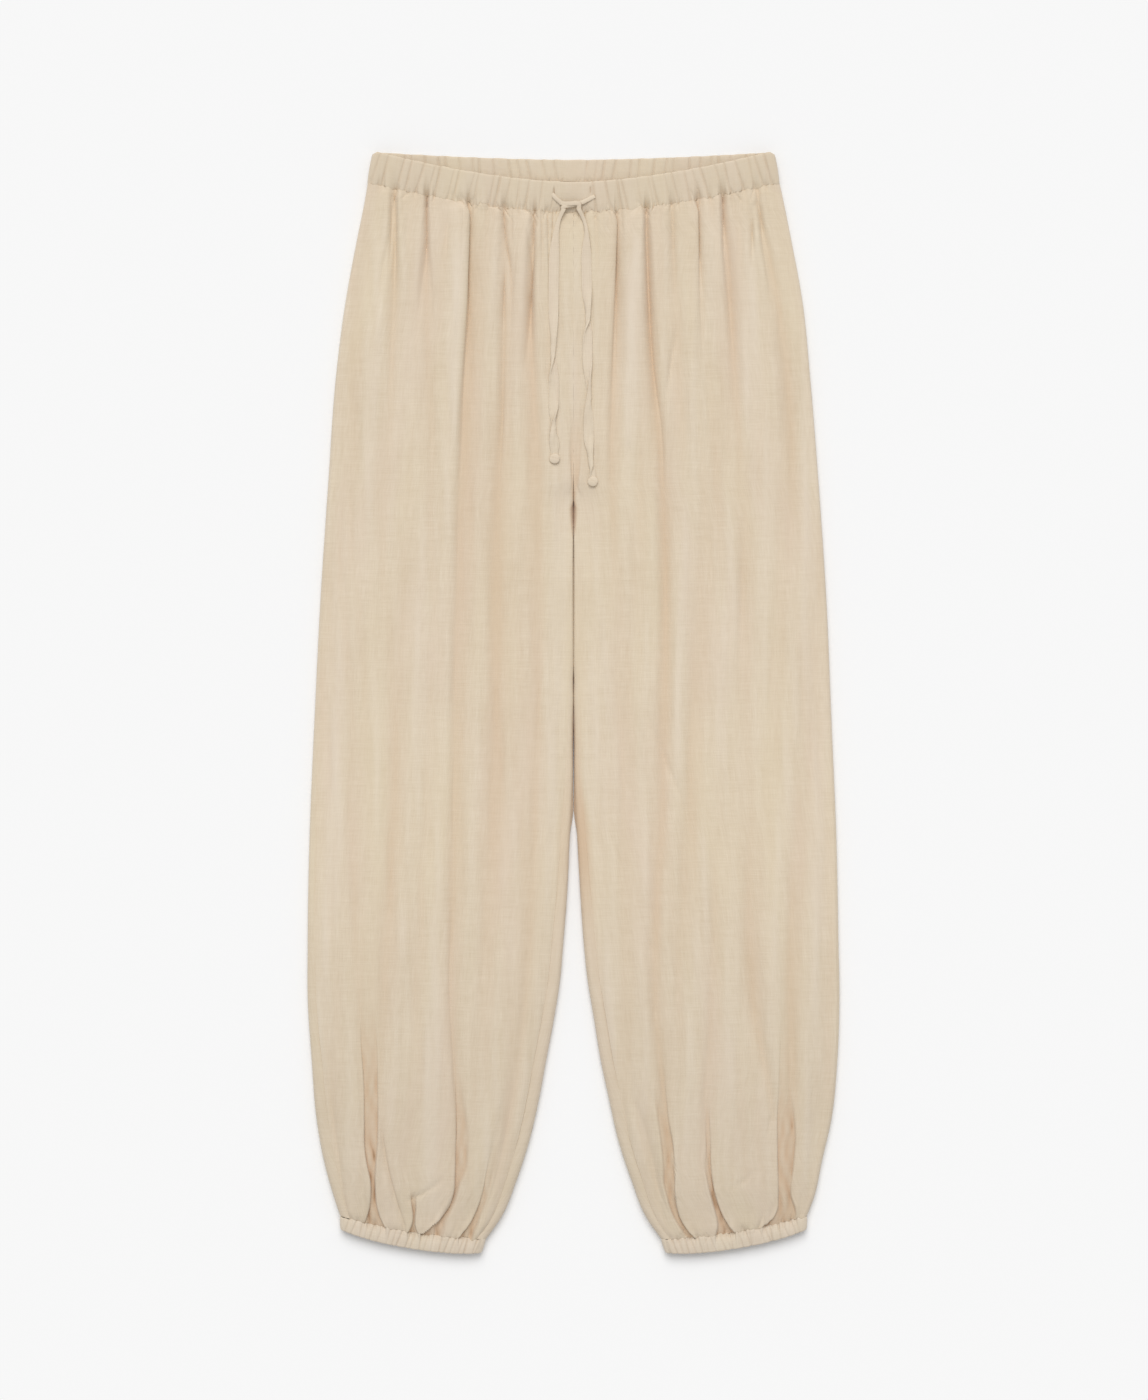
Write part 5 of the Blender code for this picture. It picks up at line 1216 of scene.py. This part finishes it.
def cuff_loops(side):
    """Loops of a cuff at distances from the centre line, their measure and the painted shade of their gathers
    and stitches.
    """
    radius = (CUFF_TOP_Z - CUFF_WALL / 2) / 2
    arc = np.linspace(0, math.pi, TURN_COLUMNS + 2)[1:-1]
    top, under, bend = np.zeros(CUFF_COLUMNS), np.zeros(CUFF_UNDER_COLUMNS), np.ones(len(arc))
    share = station_column(np.linspace(0, 1, len(top)), bend, np.linspace(1, 0, len(under)), 0 * bend)
    turn = station_column(top, arc, under + math.pi, arc[::-1])
    end = station_column(top, bend, under, -bend)
    height, out = SECTION[:, 0][None], SECTION[:, 1][None]
    start = lerp(CUFF_HEM_INNER_HALF_GAP, CUFF_INNER_HALF_GAP, 1 - height) + CUFF_WALL / 2 + radius
    stop = lerp(CUFF_HEM_OUTER_HALF, CUFF_OUTER_HALF, 1 - height) - CUFF_WALL / 2 - radius
    x = lerp(start, stop, share) + end * radius * np.sin(turn)
    z = CUFF_WALL / 2 + radius * (1 + np.cos(turn))
    across = np.clip((x - CUFF_INNER_HALF_GAP) / (CUFF_OUTER_HALF - CUFF_INNER_HALF_GAP), 0, 1)
    on_top = np.cos(turn) > 0
    # what stands up and what is pressed in
    width = CUFF_GATHER_NARROW / (2 * CUFF_HALF_WIDTH)
    dents = casing_dents(CUFF_PLACES[side], across, height, width, CUFF_LEAN)
    dents = np.minimum(dents, CREASE_MOST) * ease(np.minimum(across, 1 - across) / CUFF_PLAIN_END)
    stitch = puckers(x * FACING[side] + CUFF_SHIFT, height * CUFF_HEIGHT + 0 * x)
    swell = np.where(on_top, CUFF_SWELL, 0.0) * np.clip(1 - (2 * height - 1) ** 2, 0, 1) ** SWELL_POWER
    relief = swell - CUFF_GATHER_SINK * dents - CUFF_STITCH_SINK * stitch
    relief = np.clip(relief, np.where(out > 0, OUTSIDE_SINK, INSIDE_SINK), MOST_RISE)
    thickness = out * CUFF_WALL / 2 + out * relief
    # the places of the points
    seam_y = lerp(CUFF_SEAM_INNER_Y, CUFF_SEAM_OUTER_Y, across) - CUFF_SEAM_SAG * np.sin(math.pi * across)
    ends = 1 - CUFF_NARROWING * (2 * across - 1) ** NARROWING_POWER
    y = seam_y - HALF_GAP - height * CUFF_HEIGHT * ends + HEM_WAVE * dents * height**2
    y = y + CUFF_WANDER * seam_wander(x * FACING[side]) * on_top * (1 - height) ** WANDER_POWER
    z = z + np.cos(turn) * thickness
    seam_z = np.interp(x, *panel_edge(side, -1))
    z = z + (seam_z - CUFF_DROP - CUFF_TOP_Z) * ((end == 0) & on_top) * (1 - height) ** SEAM_POWER
    loops = np.stack([x + end * np.sin(turn) * thickness, y, z], axis=2)
    around = np.cumsum(np.linalg.norm(np.diff(loops[:, :1], axis=0, prepend=loops[:1, :1]), axis=2), axis=0)
    grain = np.stack([around + 0 * y, height * CUFF_HEIGHT + 0 * y, 0 * y], axis=2) * MM
    # the last part is the painted shade in its creases and stitches
    return loops, grain, CUFF_CREASE_SHADE * dents + CUFF_STITCH_SHADE * stitch


CUFFS = {side: cuff_loops(side) for side in FACING}
print("stations of a cuff:", CUFFS["right"][0].shape[0])

# %% [markdown]
# ## Tape
# The drawstring is a narrow tape of the same linen, folded and stitched near both edges. Where it twists
# it curls into a gutter, which is why it looks narrow there. A station of the tape is a thin section that
# bends with the twist, turned about the tape's own direction.

# %% Tape
TIE_WIDTH, TIE_THICKNESS, TIE_CLEARANCE, TIE_FALL = 9.0, 1.1, 0.1, 16.0
PRESSED = 0.5  # the tape lies pressed to this share of its height
TURNED_SHARE = 0.45  # the tape closes up to this share of its width where it stands on edge
# Half of the tape's section: share of its half width, and share of its thickness with its stitch lines
TAPE_HALF = ((1.0, 0.0), (0.985, 0.75), (0.9, 1.15), (0.80, 1.1), (0.755, 0.6), (0.71, 1.0), (0.45, 0.95),
             (0.0, 0.9))
CURLS = np.linspace(0.001, 2.6, 200)  # half of the angle that a curled section spans


def tape_section():
    """Closed section of the flat tape: across, from -1 to 1, and up, from -1 to 1."""
    top = list(TAPE_HALF) + [(-u, v) for u, v in TAPE_HALF[-2::-1]]
    return np.array(top + [(u, -v) for u, v in top[-2:0:-1]])


def tape_loops(points, turns, shares, width=TIE_WIDTH, thickness=TIE_THICKNESS):
    """Loops of a tape along points in mm, turned about its direction and curled to a share of its width."""
    section = tape_section()
    run = np.gradient(points, axis=0)
    run /= np.linalg.norm(run, axis=1, keepdims=True)
    level = np.cross((0, 0, 1.0), run)
    level /= np.linalg.norm(level, axis=1, keepdims=True)
    above = np.cross(run, level)
    side = level * np.cos(turns)[:, None] + above * np.sin(turns)[:, None]
    face = np.cross(run, side)
    curl = np.interp(-np.asarray(shares), -np.sin(CURLS) / CURLS, CURLS)[:, None]
    width = np.broadcast_to(width, len(points))[:, None]
    angle = curl * section[None, :, 0]
    radius = width / 2 / curl + section[None, :, 1] * thickness / 2
    across = radius * np.sin(angle)
    up = radius * np.cos(angle) - width / 2 / curl * (1 + np.cos(curl)) / 2
    off = across[..., None] * side[:, None] + up[..., None] * face[:, None]
    return points[:, None] + off * (1, 1, PRESSED)


def tape_piece(name, points, turns, shares, **size):
    """A piece of tape, capped at its ends."""
    loops = tape_loops(points, turns, shares, **size)
    run = np.concatenate([[0], np.cumsum(np.linalg.norm(np.diff(points, axis=0), axis=1))])
    across = tape_section()[:, 0] * TIE_WIDTH / 2
    grain = np.stack([across[None] + 0 * run[:, None], run[:, None] + 0 * across[None],
                      np.zeros(loops.shape[:2])], axis=2) * MM
    return sweep_piece(name, loops, False, grain, np.zeros(loops.shape[:2]))


print("points round the tape:", len(tape_section()))

# %% [markdown]
# ## The tie
# Two free ends lie on the front, as the photograph shows from end to end, so their length is measured from
# it. Each point of a route has the tape's turn about its own length: at 0 and 180 degrees it lies flat. The
# tape rests on the cloth that has just been shaped, but it is too stiff to follow each gather.

# %% Tie ends
TIE_ENDS = {
    "tie_end_right": table("x y turn", (
        (-8.5, 445.6, 15), (-13.6, 434, 25), (-16.4, 418, 15), (-17.5, 397.5, 0), (-17.8, 378, 0),
        (-18, 360, 5), (-18.2, 346, 20), (-18.3, 332, 45), (-18.4, 313.7, 90), (-18, 300, 145),
        (-17.5, 286.7, 180), (-17.7, 273, 185), (-18, 259.7, 220), (-17.9, 250.7, 270),
        (-17.6, 243, 315), (-17.2, 232.7, 350), (-16.9, 223.5, 360),
    )),
    "tie_end_left": table("x y turn", (
        (4.6, 445.7, 15), (9, 436, 35), (11.3, 426.2, 45), (11.5, 412, 20), (11.6, 397.5, 0),
        (12, 379, 0), (12.2, 363, 30), (13, 345.4, 90), (12.8, 334, 150), (12.5, 318.2, 180),
        (12.8, 304, 200), (13.7, 290, 235), (14, 278, 270), (13.9, 268.7, 310), (13.6, 255.2, 350),
        (13.7, 241.7, 360), (13.9, 232.7, 385), (14.7, 223.6, 420), (16, 215, 450), (16.8, 209, 490),
        (17.2, 203, 525),
    )),
}
TIE_RUNS = {  # from each buttonhole to the knot
    "tie_run_right": ((-19.3, 458.6), (-16.0, 454.8), (-11.3, 450.7)),
    "tie_run_left": ((18.9, 456.8), (13.5, 453.8), (6.9, 450.6)),
}
END_KNOTS = {"tie_end_right": (-16.9, 220.2), "tie_end_left": (17.4, 199.8)}
KNOT_HEIGHT = 2.4
KNOT_Z = BAND_FRONT_Z + BAND_WALL / 2 + BAND_SWELL + 0.1 + KNOT_HEIGHT / 2
STATIONS = 170
CLOTH_SHARE = 93  # per cent of the cloth below that lies lower than a tape or a knot
ROUTE_BLUR = 12  # times that a route's heights are smoothed
ALONG_REACH, SIDE_REACH = 3.5, 0.5  # how far along it and beyond its edges the cloth below carries a tape
FLAT_SHARE = 0.985  # of its width that a flat tape spans
KNOT_PLEAT = (0.4, 1.0, 8, 40)  # of its width beside the knot and beyond, where that begins, and its run
TIP_PLEAT = (0.7, 1.0, 0, 12)  # the same beside the knot at its tip
TIP_SIZE = (4.7, 4.5, 1.2)  # half sizes of the knot at a tip
TIP_TILTS = (8, -10)
TIP_LIFT, TIP_REACH = 1.3, (5, 4)  # its middle above the cloth, and the cloth that carries it
WRAPS = ((0.1, 0.2, 1.0), (0.66, 0.16, 0.5))  # place, width and strength of the creases round it
# slant and depth of the wraps' creases, and their painted shade
WRAP_SLANT, WRAP_DEPTH, WRAP_SHADE = 0.45, 0.08, 1.2


def cloth_cloud():
    """Points on top of the fronts and the front waistband, in mm."""
    parts = [BANDS["front"][0].reshape(-1, 3)]
    for side, (grid, _) in FRONTS.items():
        parts.append(grid.reshape(-1, 3) * (FACING[side], 1, 1) + (0, 0, WALL / 2))
    return np.concatenate(parts)


CLOTH = cloth_cloud()


def cloth_top(x, y, reach_x, reach_y):
    """Height of nearly the highest cloth within a reach of a place: soft cloth gives a little."""
    near = (np.abs(CLOTH[:, 0] - x) < reach_x) & (np.abs(CLOTH[:, 1] - y) < reach_y)
    return np.percentile(CLOTH[near, 2], CLOTH_SHARE)


def smoothed(values, times):
    """Values after some averaging with their neighbours, never lower than they were."""
    for _ in range(times):
        values = np.maximum(values, np.convolve(np.pad(values, 1, mode="edge"), (0.25, 0.5, 0.25), "valid"))
    return values


def tie_end(name):
    """A free end of the tie. Gives the piece and its centre line."""
    route = TIE_ENDS[name]
    rows = np.arange(len(route["x"]), dtype=float)
    fine = np.linspace(0, rows[-1], STATIONS)
    x, y, degrees = (along(rows, route[column], fine) for column in ("x", "y", "turn"))
    turns = np.radians(degrees)
    shares = lerp(FLAT_SHARE, TURNED_SHARE, np.sin(turns) ** 2)
    from_knot = np.hypot(x - x[0], y - y[0])
    width = TIE_WIDTH * change(from_knot, *KNOT_PLEAT)  # the knot pleats it lengthwise
    from_tip = np.hypot(x - x[-1], y - y[-1])
    width = width * change(from_tip, *TIP_PLEAT)
    half_height = PRESSED * (TIE_THICKNESS / 2 + width / 2 * shares * np.abs(np.sin(turns)))
    reaches = width / 2 * shares + SIDE_REACH
    carried = [cloth_top(*place, ALONG_REACH) for place in zip(x, y, reaches)]
    fall = ease(from_knot / TIE_FALL)
    heights = np.maximum(np.array(carried) + TIE_CLEARANCE + half_height, KNOT_Z - fall * KNOT_HEIGHT)
    points = np.stack([x, y, smoothed(heights, ROUTE_BLUR)], axis=1)
    return tape_piece(name.replace("tie_end", "cord"), points, turns, shares, width=width), points


def end_knot(name, centre, tilt):
    """The small knot at an end's tip: a lump with two wraps of tape pulled tight round it."""
    bpy.ops.object.select_all(action="DESELECT")
    bpy.ops.mesh.primitive_uv_sphere_add(segments=48, ring_count=32, radius=0.5)
    piece = bpy.context.active_object
    piece.name = piece.data.name = name
    shape = np.empty(len(piece.data.vertices) * 3)
    piece.data.vertices.foreach_get("co", shape)
    shape = shape.reshape(-1, 3) * 2
    along_wrap = shape[:, 1] + WRAP_SLANT * shape[:, 0]
    crease = sum(strength * bell(along_wrap - place, width) for place, width, strength in WRAPS)
    shape = shape * (1 - WRAP_DEPTH * crease)[:, None] * TIP_SIZE
    turn = np.radians(tilt)
    turned = shape[:, :2] @ np.array([[math.cos(turn), math.sin(turn)], [-math.sin(turn), math.cos(turn)]])
    z = cloth_top(*centre, *TIP_REACH) + TIP_LIFT
    shape = np.column_stack([turned, shape[:, 2]]) + (*centre, z)
    piece.data.vertices.foreach_set("co", (shape * MM).ravel())
    piece.data.shade_smooth()
    grain = piece.data.attributes.new("grain", "FLOAT_VECTOR", "POINT")
    grain.data.foreach_set("vector", (shape * MM).astype(np.float32).ravel())
    # painted shade in the creases of the wraps
    fold_shading = piece.data.attributes.new("fold_shading", "FLOAT", "POINT")
    fold_shading.data.foreach_set("value", (WRAP_SHADE * crease).astype(np.float32))
    return piece


TAPES = {name: tie_end(name) for name in TIE_ENDS}
TIPS = {name: end_knot(name.replace("tie_end", "cord_tip"), place, tilt)
        for (name, place), tilt in zip(END_KNOTS.items(), TIP_TILTS)}
for name, (piece, path) in TAPES.items():
    print(name, round(float(np.linalg.norm(np.diff(path, axis=0), axis=1).sum())), "mm")

# %% [markdown]
# ## The half knot
# The two runs come out of their buttonholes, cross once and hang on as the free ends. Each crossing strand
# is a short tape of its own that dips under or rises over the other.

# %% Knot and runs
KNOT_STRANDS = {  # route, level of its points (0 is low and 2 is high), turns, shares of its width
    "over": (((-12.2, 451.2), (-8.6, 449.9), (-2.5, 449.9), (2.6, 450.3), (4.9, 448.6), (4.7, 445.2)),
             (0, 1, 2, 2, 1, 0), (10, 5, 0, 0, -5, -5), (0.9, 0.9, 0.9, 0.9, 0.9, 0.85)),
    "under": (((8.4, 451.4), (4.2, 450.2), (-1.5, 448.7), (-7.0, 447.9), (-9.2, 446.4), (-8.8, 444.2)),
              (0, 0, 0, 1, 1, 0), (-10, -5, 0, 5, 5, 5), (0.9, 0.9, 0.9, 0.9, 0.9, 0.85)),
}
STRAND_LEVELS = (KNOT_Z - 0.7, KNOT_Z, KNOT_Z + 0.5)
STRAND_WIDTH, STRAND_STATIONS = 3.8, 14  # stations for each point of a strand's route
RUN_WIDTH = 4.0
RUN_RISE, RUN_DROP = 1.2, 0.5  # a run rises from its buttonhole and ends below the knot's middle
RUN_TURNS, RUN_SHARES = (25, 22, 20), (0.7, 0.75, 0.8)


def strand(name, route, heights, turns, shares, width=STRAND_WIDTH):
    """A short tape through a few points seen from above, at the given heights."""
    places = np.arange(len(route), dtype=float)
    fine = np.linspace(0, places[-1], STRAND_STATIONS * len(route))
    columns = [*zip(*route), heights, np.radians(turns), shares]
    x, y, z, turn, share = (along(places, column, fine) for column in columns)
    return tape_piece(name, np.stack([x, y, z], axis=1), turn, share, width=width)


def join(name, pieces):
    """One object out of several."""
    bpy.ops.object.select_all(action="DESELECT")
    for piece in pieces:
        piece.select_set(True)
    bpy.context.view_layer.objects.active = pieces[0]
    bpy.ops.object.join()
    pieces[0].name = pieces[0].data.name = name
    return pieces[0]


def tie_knot():
    """The crossing strands, as one piece."""
    pieces = []
    for name, (route, levels, turns, shares) in KNOT_STRANDS.items():
        pieces.append(strand(name, route, [STRAND_LEVELS[level] for level in levels], turns, shares))
    return join("half_knot", pieces)


KNOT = tie_knot()
RUNS = {}
for name, route in TIE_RUNS.items():
    deep = BAND_FRONT_Z + BAND_WALL / 2
    heights = (deep, deep + RUN_RISE, KNOT_Z - RUN_DROP)
    RUNS[name] = strand(name.replace("tie", "cord"), route, heights, RUN_TURNS, RUN_SHARES, RUN_WIDTH)
print("strands:", len(KNOT_STRANDS) + len(RUNS))

# %% [markdown]
# ## Making the cloth pieces
# Now the panels, the waistband and the cuffs become meshes.

# %% Cloth pieces
PIECES = {}
for side, (grid, shade_amount) in FRONTS.items():
    PIECES["front_leg_" + side] = leg_panel("front_" + side, side, grid, shade_amount, 1)
    PIECES["back_leg_" + side] = leg_panel("back_" + side, side, *back_grid(side), -1)
for half, (loops, grain, dents) in BANDS.items():
    PIECES["waistband_" + half] = sweep_piece("band_" + half, loops, False, grain, dents)
for side, (loops, grain, dents) in CUFFS.items():
    loops = loops * (FACING[side], 1, 1)
    PIECES["cuff_" + side] = sweep_piece("cuff_" + side + "_cloth", loops, True, grain, dents)
for name, piece in PIECES.items():
    print(name, len(piece.data.polygons), "faces")

# %% [markdown]
# ## Linen
# Linen looks as it does because its yarn is uneven: slubs thicken it here and there, and warp and weft take
# the dye a little differently. The material lays noise along both directions of the cloth's own measure, so
# it turns and stretches with each piece. In the troughs light bounces from cloth to cloth and comes back
# warmer, and the colour gets painted shade for that: darker and warmer in troughs, creases and slits, with a
# little painted light on raised waves and a painted darkening of the lower legs. The small class lets the
# shader's sums read as sums.

# %% Shader helper
class Socket:
    """A node's output that can be used in sums. Without an output it only makes the first nodes of a tree."""

    def __init__(self, tree, output=None):
        self.tree, self.output = tree, output

    def node(self, kind, values=(), output=0, **settings):
        """Add a node: settings first, then values or links for its inputs. Gives one of its outputs."""
        node = self.tree.nodes.new(kind)
        for key, value in settings.items():
            setattr(node, key, value)
        for key, value in dict(values).items():
            if isinstance(value, Socket):
                self.tree.links.new(value.output, node.inputs[key])
            else:
                node.inputs[key].default_value = value
        return Socket(self.tree, node.outputs[output])

    def sum(self, operation, other, turned=False):
        """This value and another one in a sum, or the other one first."""
        pair = (other, self) if turned else (self, other)
        return self.node("ShaderNodeMath", enumerate(pair), operation=operation)

    def __add__(self, other):
        return self.sum("ADD", other)

    def __sub__(self, other):
        return self.sum("SUBTRACT", other)

    def __rsub__(self, other):
        return self.sum("SUBTRACT", other, turned=True)

    def __mul__(self, other):
        return self.sum("MULTIPLY", other)

    def __truediv__(self, other):
        return self.sum("DIVIDE", other)

    __radd__, __rmul__ = __add__, __mul__

    def clipped(self):
        """The value held between 0 and 1."""
        return self.node("ShaderNodeClamp", {0: self})

    def noise(self, cells, detail=2.0):
        """Noise round 0.5 at this vector, with so many cells to a metre across and up."""
        scale = (*cells, 1.0)
        spread = self.node("ShaderNodeVectorMath", {0: self, 1: scale}, operation="MULTIPLY")
        inputs = {"Vector": spread, "Scale": 1.0, "Detail": detail, "Roughness": 0.5}
        return self.node("ShaderNodeTexNoise", inputs, noise_dimensions="3D")


def mix_colour(share, first, second):
    """Two colours mixed by a socket."""
    first, second = (part if isinstance(part, Socket) else (*part, 1.0) for part in (first, second))
    return share.node("ShaderNodeMix", {0: share, 6: first, 7: second}, output=2, data_type="RGBA")


print("sums for the shader are ready")

# %% Linen
# Noise cells to a metre, across and up: about a yarn each, then broad streaks, patches, slubs and hues
WARP, WEFT = (1100.0, 55.0), (55.0, 1100.0)
WARP_STREAKS, WEFT_STREAKS = (160.0, 12.0), (12.0, 160.0)
PATCHES, SLUBS, HUES, DENTS = (24.0, 13.0), (480.0, 60.0), (22.0, 4.0), (190.0, 120.0)
SLUB_LIMIT, SLUB_RISE = 0.66, 6.0  # noise above the limit is a slub, and rises so steeply
YELLOW, PINK = (0.725, 0.62, 0.435), (0.735, 0.60, 0.49)  # hues that the cloth drifts to
YELLOW_SHARE, PINK_SHARE, HUE_RISE = 0.35, 0.45, 4.0  # how far, and how quickly the noise leads there
DIM_FROM, DIM_RUN, DIM_SHARE = 0.13, 0.30, 0.105  # painted shade: the lower legs are darker, as the light falls off towards the cuffs: start, run and share
# How much each noise makes the cloth lighter or darker
WARP_PALE, WEFT_PALE, STREAK_PALE, WEFT_STREAK_PALE, PATCH_PALE = 0.9, 0.8, 0.5, 0.3, 0.6
SLUB_SHARE, SLUB_LIGHTER = 0.2, 1.06
WEAVE_BUMP, SLUB_BUMP, DENT_BUMP, BUMP_STRENGTH = 0.35, 0.3, 0.9, 0.5  # how much each noise lifts the surface
# light and dark yarns, then the colour of the painted shade in troughs
LINEN_LIGHT, LINEN_DARK, TROUGH_SHADE = (0.782, 0.672, 0.525), (0.645, 0.53, 0.385), (0.62, 0.42, 0.265)
# colours of the painted light on crests, the dark painted shade in deep slits and the painted shade in the
# casings' gathers
CREST_LIGHT, SLIT_SHADE, CASING_SHADE = (0.79, 0.695, 0.575), (0.33, 0.19, 0.10), (0.52, 0.375, 0.25)
TROUGH_SHADE_SHARE, CREST_LIGHT_SHARE = 0.08, -0.3  # shares of the painted shade in troughs and of the painted light on crests, for each mm that a point lies in a fold
SLIT_SHADE_FROM, SLIT_SHADE_SHARE = 9.0, 0.25  # the dark painted shade of a slit starts so deep
BUMP_HEIGHT = 0.0006  # metres
FINISH = {"Roughness": 0.92, "Specular IOR Level": 0.15, "Sheen Weight": 0.25, "Sheen Roughness": 0.6}


def paled(colour, share):
    """A colour made lighter or darker."""
    return tuple(share * part for part in colour)


def linen(name, colour, dark, tint, shown_weave=1.0):
    """Plain-weave linen. colour and dark are its light and dark yarns, and tint is the colour of its painted
    shade in a trough.
    """
    material = bpy.data.materials.new(name)
    material.use_nodes = True
    tree = material.node_tree
    shader = tree.nodes["Principled BSDF"]
    start = Socket(tree)
    grain = start.node("ShaderNodeAttribute", output="Vector", attribute_name="grain")
    fold_shading = start.node("ShaderNodeAttribute", output="Fac", attribute_name="fold_shading")
    # the yarns
    warp, weft = grain.noise(WARP), grain.noise(WEFT)
    broad, broad_weft = grain.noise(WARP_STREAKS, 3.0), grain.noise(WEFT_STREAKS, 3.0)
    slub = ((grain.noise(SLUBS, 1.0) - SLUB_LIMIT) * SLUB_RISE).clipped()
    pale = 0.5 + (warp - 0.5) * WARP_PALE + (weft - 0.5) * WEFT_PALE + (broad - 0.5) * STREAK_PALE
    pale = pale + (broad_weft - 0.5) * WEFT_STREAK_PALE + (grain.noise(PATCHES, 3.0) - 0.5) * PATCH_PALE
    base = mix_colour(pale.clipped(), dark, colour)
    # the hues, the slubs, and the painted shade and light of the folds
    hue = grain.noise(HUES)
    base = mix_colour(((hue - 0.5) * HUE_RISE).clipped() * YELLOW_SHARE, base, YELLOW)
    base = mix_colour(((0.5 - hue) * HUE_RISE).clipped() * PINK_SHARE, base, PINK)
    base = mix_colour(slub * SLUB_SHARE, base, paled(colour, SLUB_LIGHTER))
    # painted shade in troughs, painted light on crests, and dark painted shade in deep slits
    base = mix_colour((fold_shading * TROUGH_SHADE_SHARE).clipped(), base, tint)
    base = mix_colour((fold_shading * CREST_LIGHT_SHARE).clipped(), base, CREST_LIGHT)
    base = mix_colour(((fold_shading - SLIT_SHADE_FROM) * SLIT_SHADE_SHARE).clipped(), base, SLIT_SHADE)
    # painted shade on the lower legs, where the light falls off towards the cuffs
    place = start.node("ShaderNodeTexCoord", output="Object")
    height = place.node("ShaderNodeSeparateXYZ", {0: place}, output="Y")
    falloff_shade = ((height * -1.0 - DIM_FROM) / DIM_RUN).clipped()
    base = mix_colour(falloff_shade * DIM_SHARE, base, (0.0, 0.0, 0.0))
    tree.links.new(base.output, shader.inputs["Base Color"])
    # the relief
    relief = (warp + weft) * WEAVE_BUMP * shown_weave + slub * SLUB_BUMP
    relief = relief + grain.noise(DENTS, 3.0) * DENT_BUMP
    inputs = {"Height": relief, "Strength": BUMP_STRENGTH, "Distance": BUMP_HEIGHT}
    bump = start.node("ShaderNodeBump", inputs)
    tree.links.new(bump.output, shader.inputs["Normal"])
    for key, value in FINISH.items():
        shader.inputs[key].default_value = value
    return material


LOOKS = {  # light yarns, dark yarns, colour of the painted shade in a trough and how much the weave stands up
    "linen_front": (LINEN_LIGHT, LINEN_DARK, TROUGH_SHADE),
    "linen_back": (paled(LINEN_LIGHT, 0.97), LINEN_DARK, TROUGH_SHADE),
    # the waistband's linen is a darker copy of the same cloth: painted shade of its close gathers
    "linen_band": (paled(LINEN_LIGHT, 0.895), LINEN_DARK, CASING_SHADE),
    "linen_cuff": ((0.80, 0.70, 0.57), (0.66, 0.55, 0.42), CASING_SHADE),
    "tie_tape": ((0.785, 0.68, 0.535), (0.655, 0.54, 0.405), TROUGH_SHADE, 0.6),
}
MATERIALS = {name: linen(name, *look) for name, look in LOOKS.items()}
print("materials:", ", ".join(MATERIALS))

# %% [markdown]
# ## Riding and slots
# Every piece rides on the one body, stands for its measured solid, which is hidden, and takes its material
# from a slot. For cloth, the size it was cut to, before elastic and folds drew it in, is printed beside its
# area.

# %% Bodies and materials
CUT = {  # width and length of the cloth that shows, in mm, and its area's share of that rectangle
    "front_leg_right": (280, 955, 0.88), "front_leg_left": (280, 955, 0.88),
    "back_leg_right": (280, 970, 0.88), "back_leg_left": (280, 970, 0.88),
    "waistband_front": (430, 29, 1.0), "waistband_back": (430, 29, 1.0),
    "cuff_right": (330, 15.5, 1.0), "cuff_left": (330, 15.5, 1.0),
}
SLOTS = {"front": "linen_front", "back": "linen_back", "waistband": "linen_band", "cuff": "linen_cuff"}


def half_surface(piece):
    """Half of a closed shell's surface, in square metres: its cloth, counted once."""
    return sum(polygon.area for polygon in piece.data.polygons) / 2


def settle(piece, node, slot):
    """Give a piece its body and its material, and hide the measured solid that it stands for."""
    piece.data.materials.clear()
    piece.data.materials.append(MATERIALS[slot])
    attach(piece, "root")
    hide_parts(node)


for name, (piece, path) in TAPES.items():
    settle(piece, name, "tie_tape")
    settle(TIPS[name], name.replace("end", "tip"), "tie_tape")
    length = float(np.linalg.norm(np.diff(path, axis=0), axis=1).sum())
settle(KNOT, "tie_knot", "tie_tape")
for name, piece in RUNS.items():
    settle(piece, name, "tie_tape")
for node, piece in PIECES.items():
    kind = node.split("_")[0]
    settle(piece, node, SLOTS[kind])
    width, length, share = CUT[node]
    cut_area = width * length * share * MM * MM
    print(f"{node}: cloth {half_surface(piece):.4f} m2, cut {cut_area:.4f} m2")

# %% [markdown]
# ## Floor and light
# The photograph is a product shot on white: a big soft light from above and a little from the left, and a
# pale surface that fills the shadows. The floor lies a hair under the cloth.

# %% Floor and light
FLOOR_PALE, FLOOR_SIZE, FLOOR_Z = 0.93, 8, -0.0004  # in metres
SKY, SUN = 0.54, 1.82
SUN_ANGLE = 45.0
SUN_FROM = (-0.06, 0.85, 1.15)


def floor():
    """A large pale surface."""
    bpy.ops.object.select_all(action="DESELECT")
    bpy.ops.mesh.primitive_plane_add(size=FLOOR_SIZE, location=(0, 0, FLOOR_Z))
    plane = bpy.context.active_object
    plane.name = "floor"
    material = bpy.data.materials.new("floor")
    material.use_nodes = True
    shader = material.node_tree.nodes["Principled BSDF"]
    shader.inputs["Base Color"].default_value = (FLOOR_PALE, FLOOR_PALE, FLOOR_PALE, 1)
    shader.inputs["Roughness"].default_value = 1.0
    shader.inputs["Specular IOR Level"].default_value = 0.0
    plane.data.materials.append(material)


def lights():
    """An even pale sky and one broad sun."""
    world = bpy.data.worlds.new("sky")
    world.use_nodes = True
    world.node_tree.nodes["Background"].inputs["Color"].default_value = (1, 1, 1, 1)
    world.node_tree.nodes["Background"].inputs["Strength"].default_value = SKY
    bpy.context.scene.world = world
    sun = bpy.data.lights.new("sun", "SUN")
    sun.energy = SUN
    sun.angle = math.radians(SUN_ANGLE)
    lamp = bpy.data.objects.new("sun", sun)
    lamp.rotation_euler = Vector(SUN_FROM).to_track_quat("Z", "Y").to_euler()
    bpy.context.scene.collection.objects.link(lamp)
    bpy.context.scene.view_settings.view_transform = "Standard"


floor()
lights()
print("floor and lights are in place")
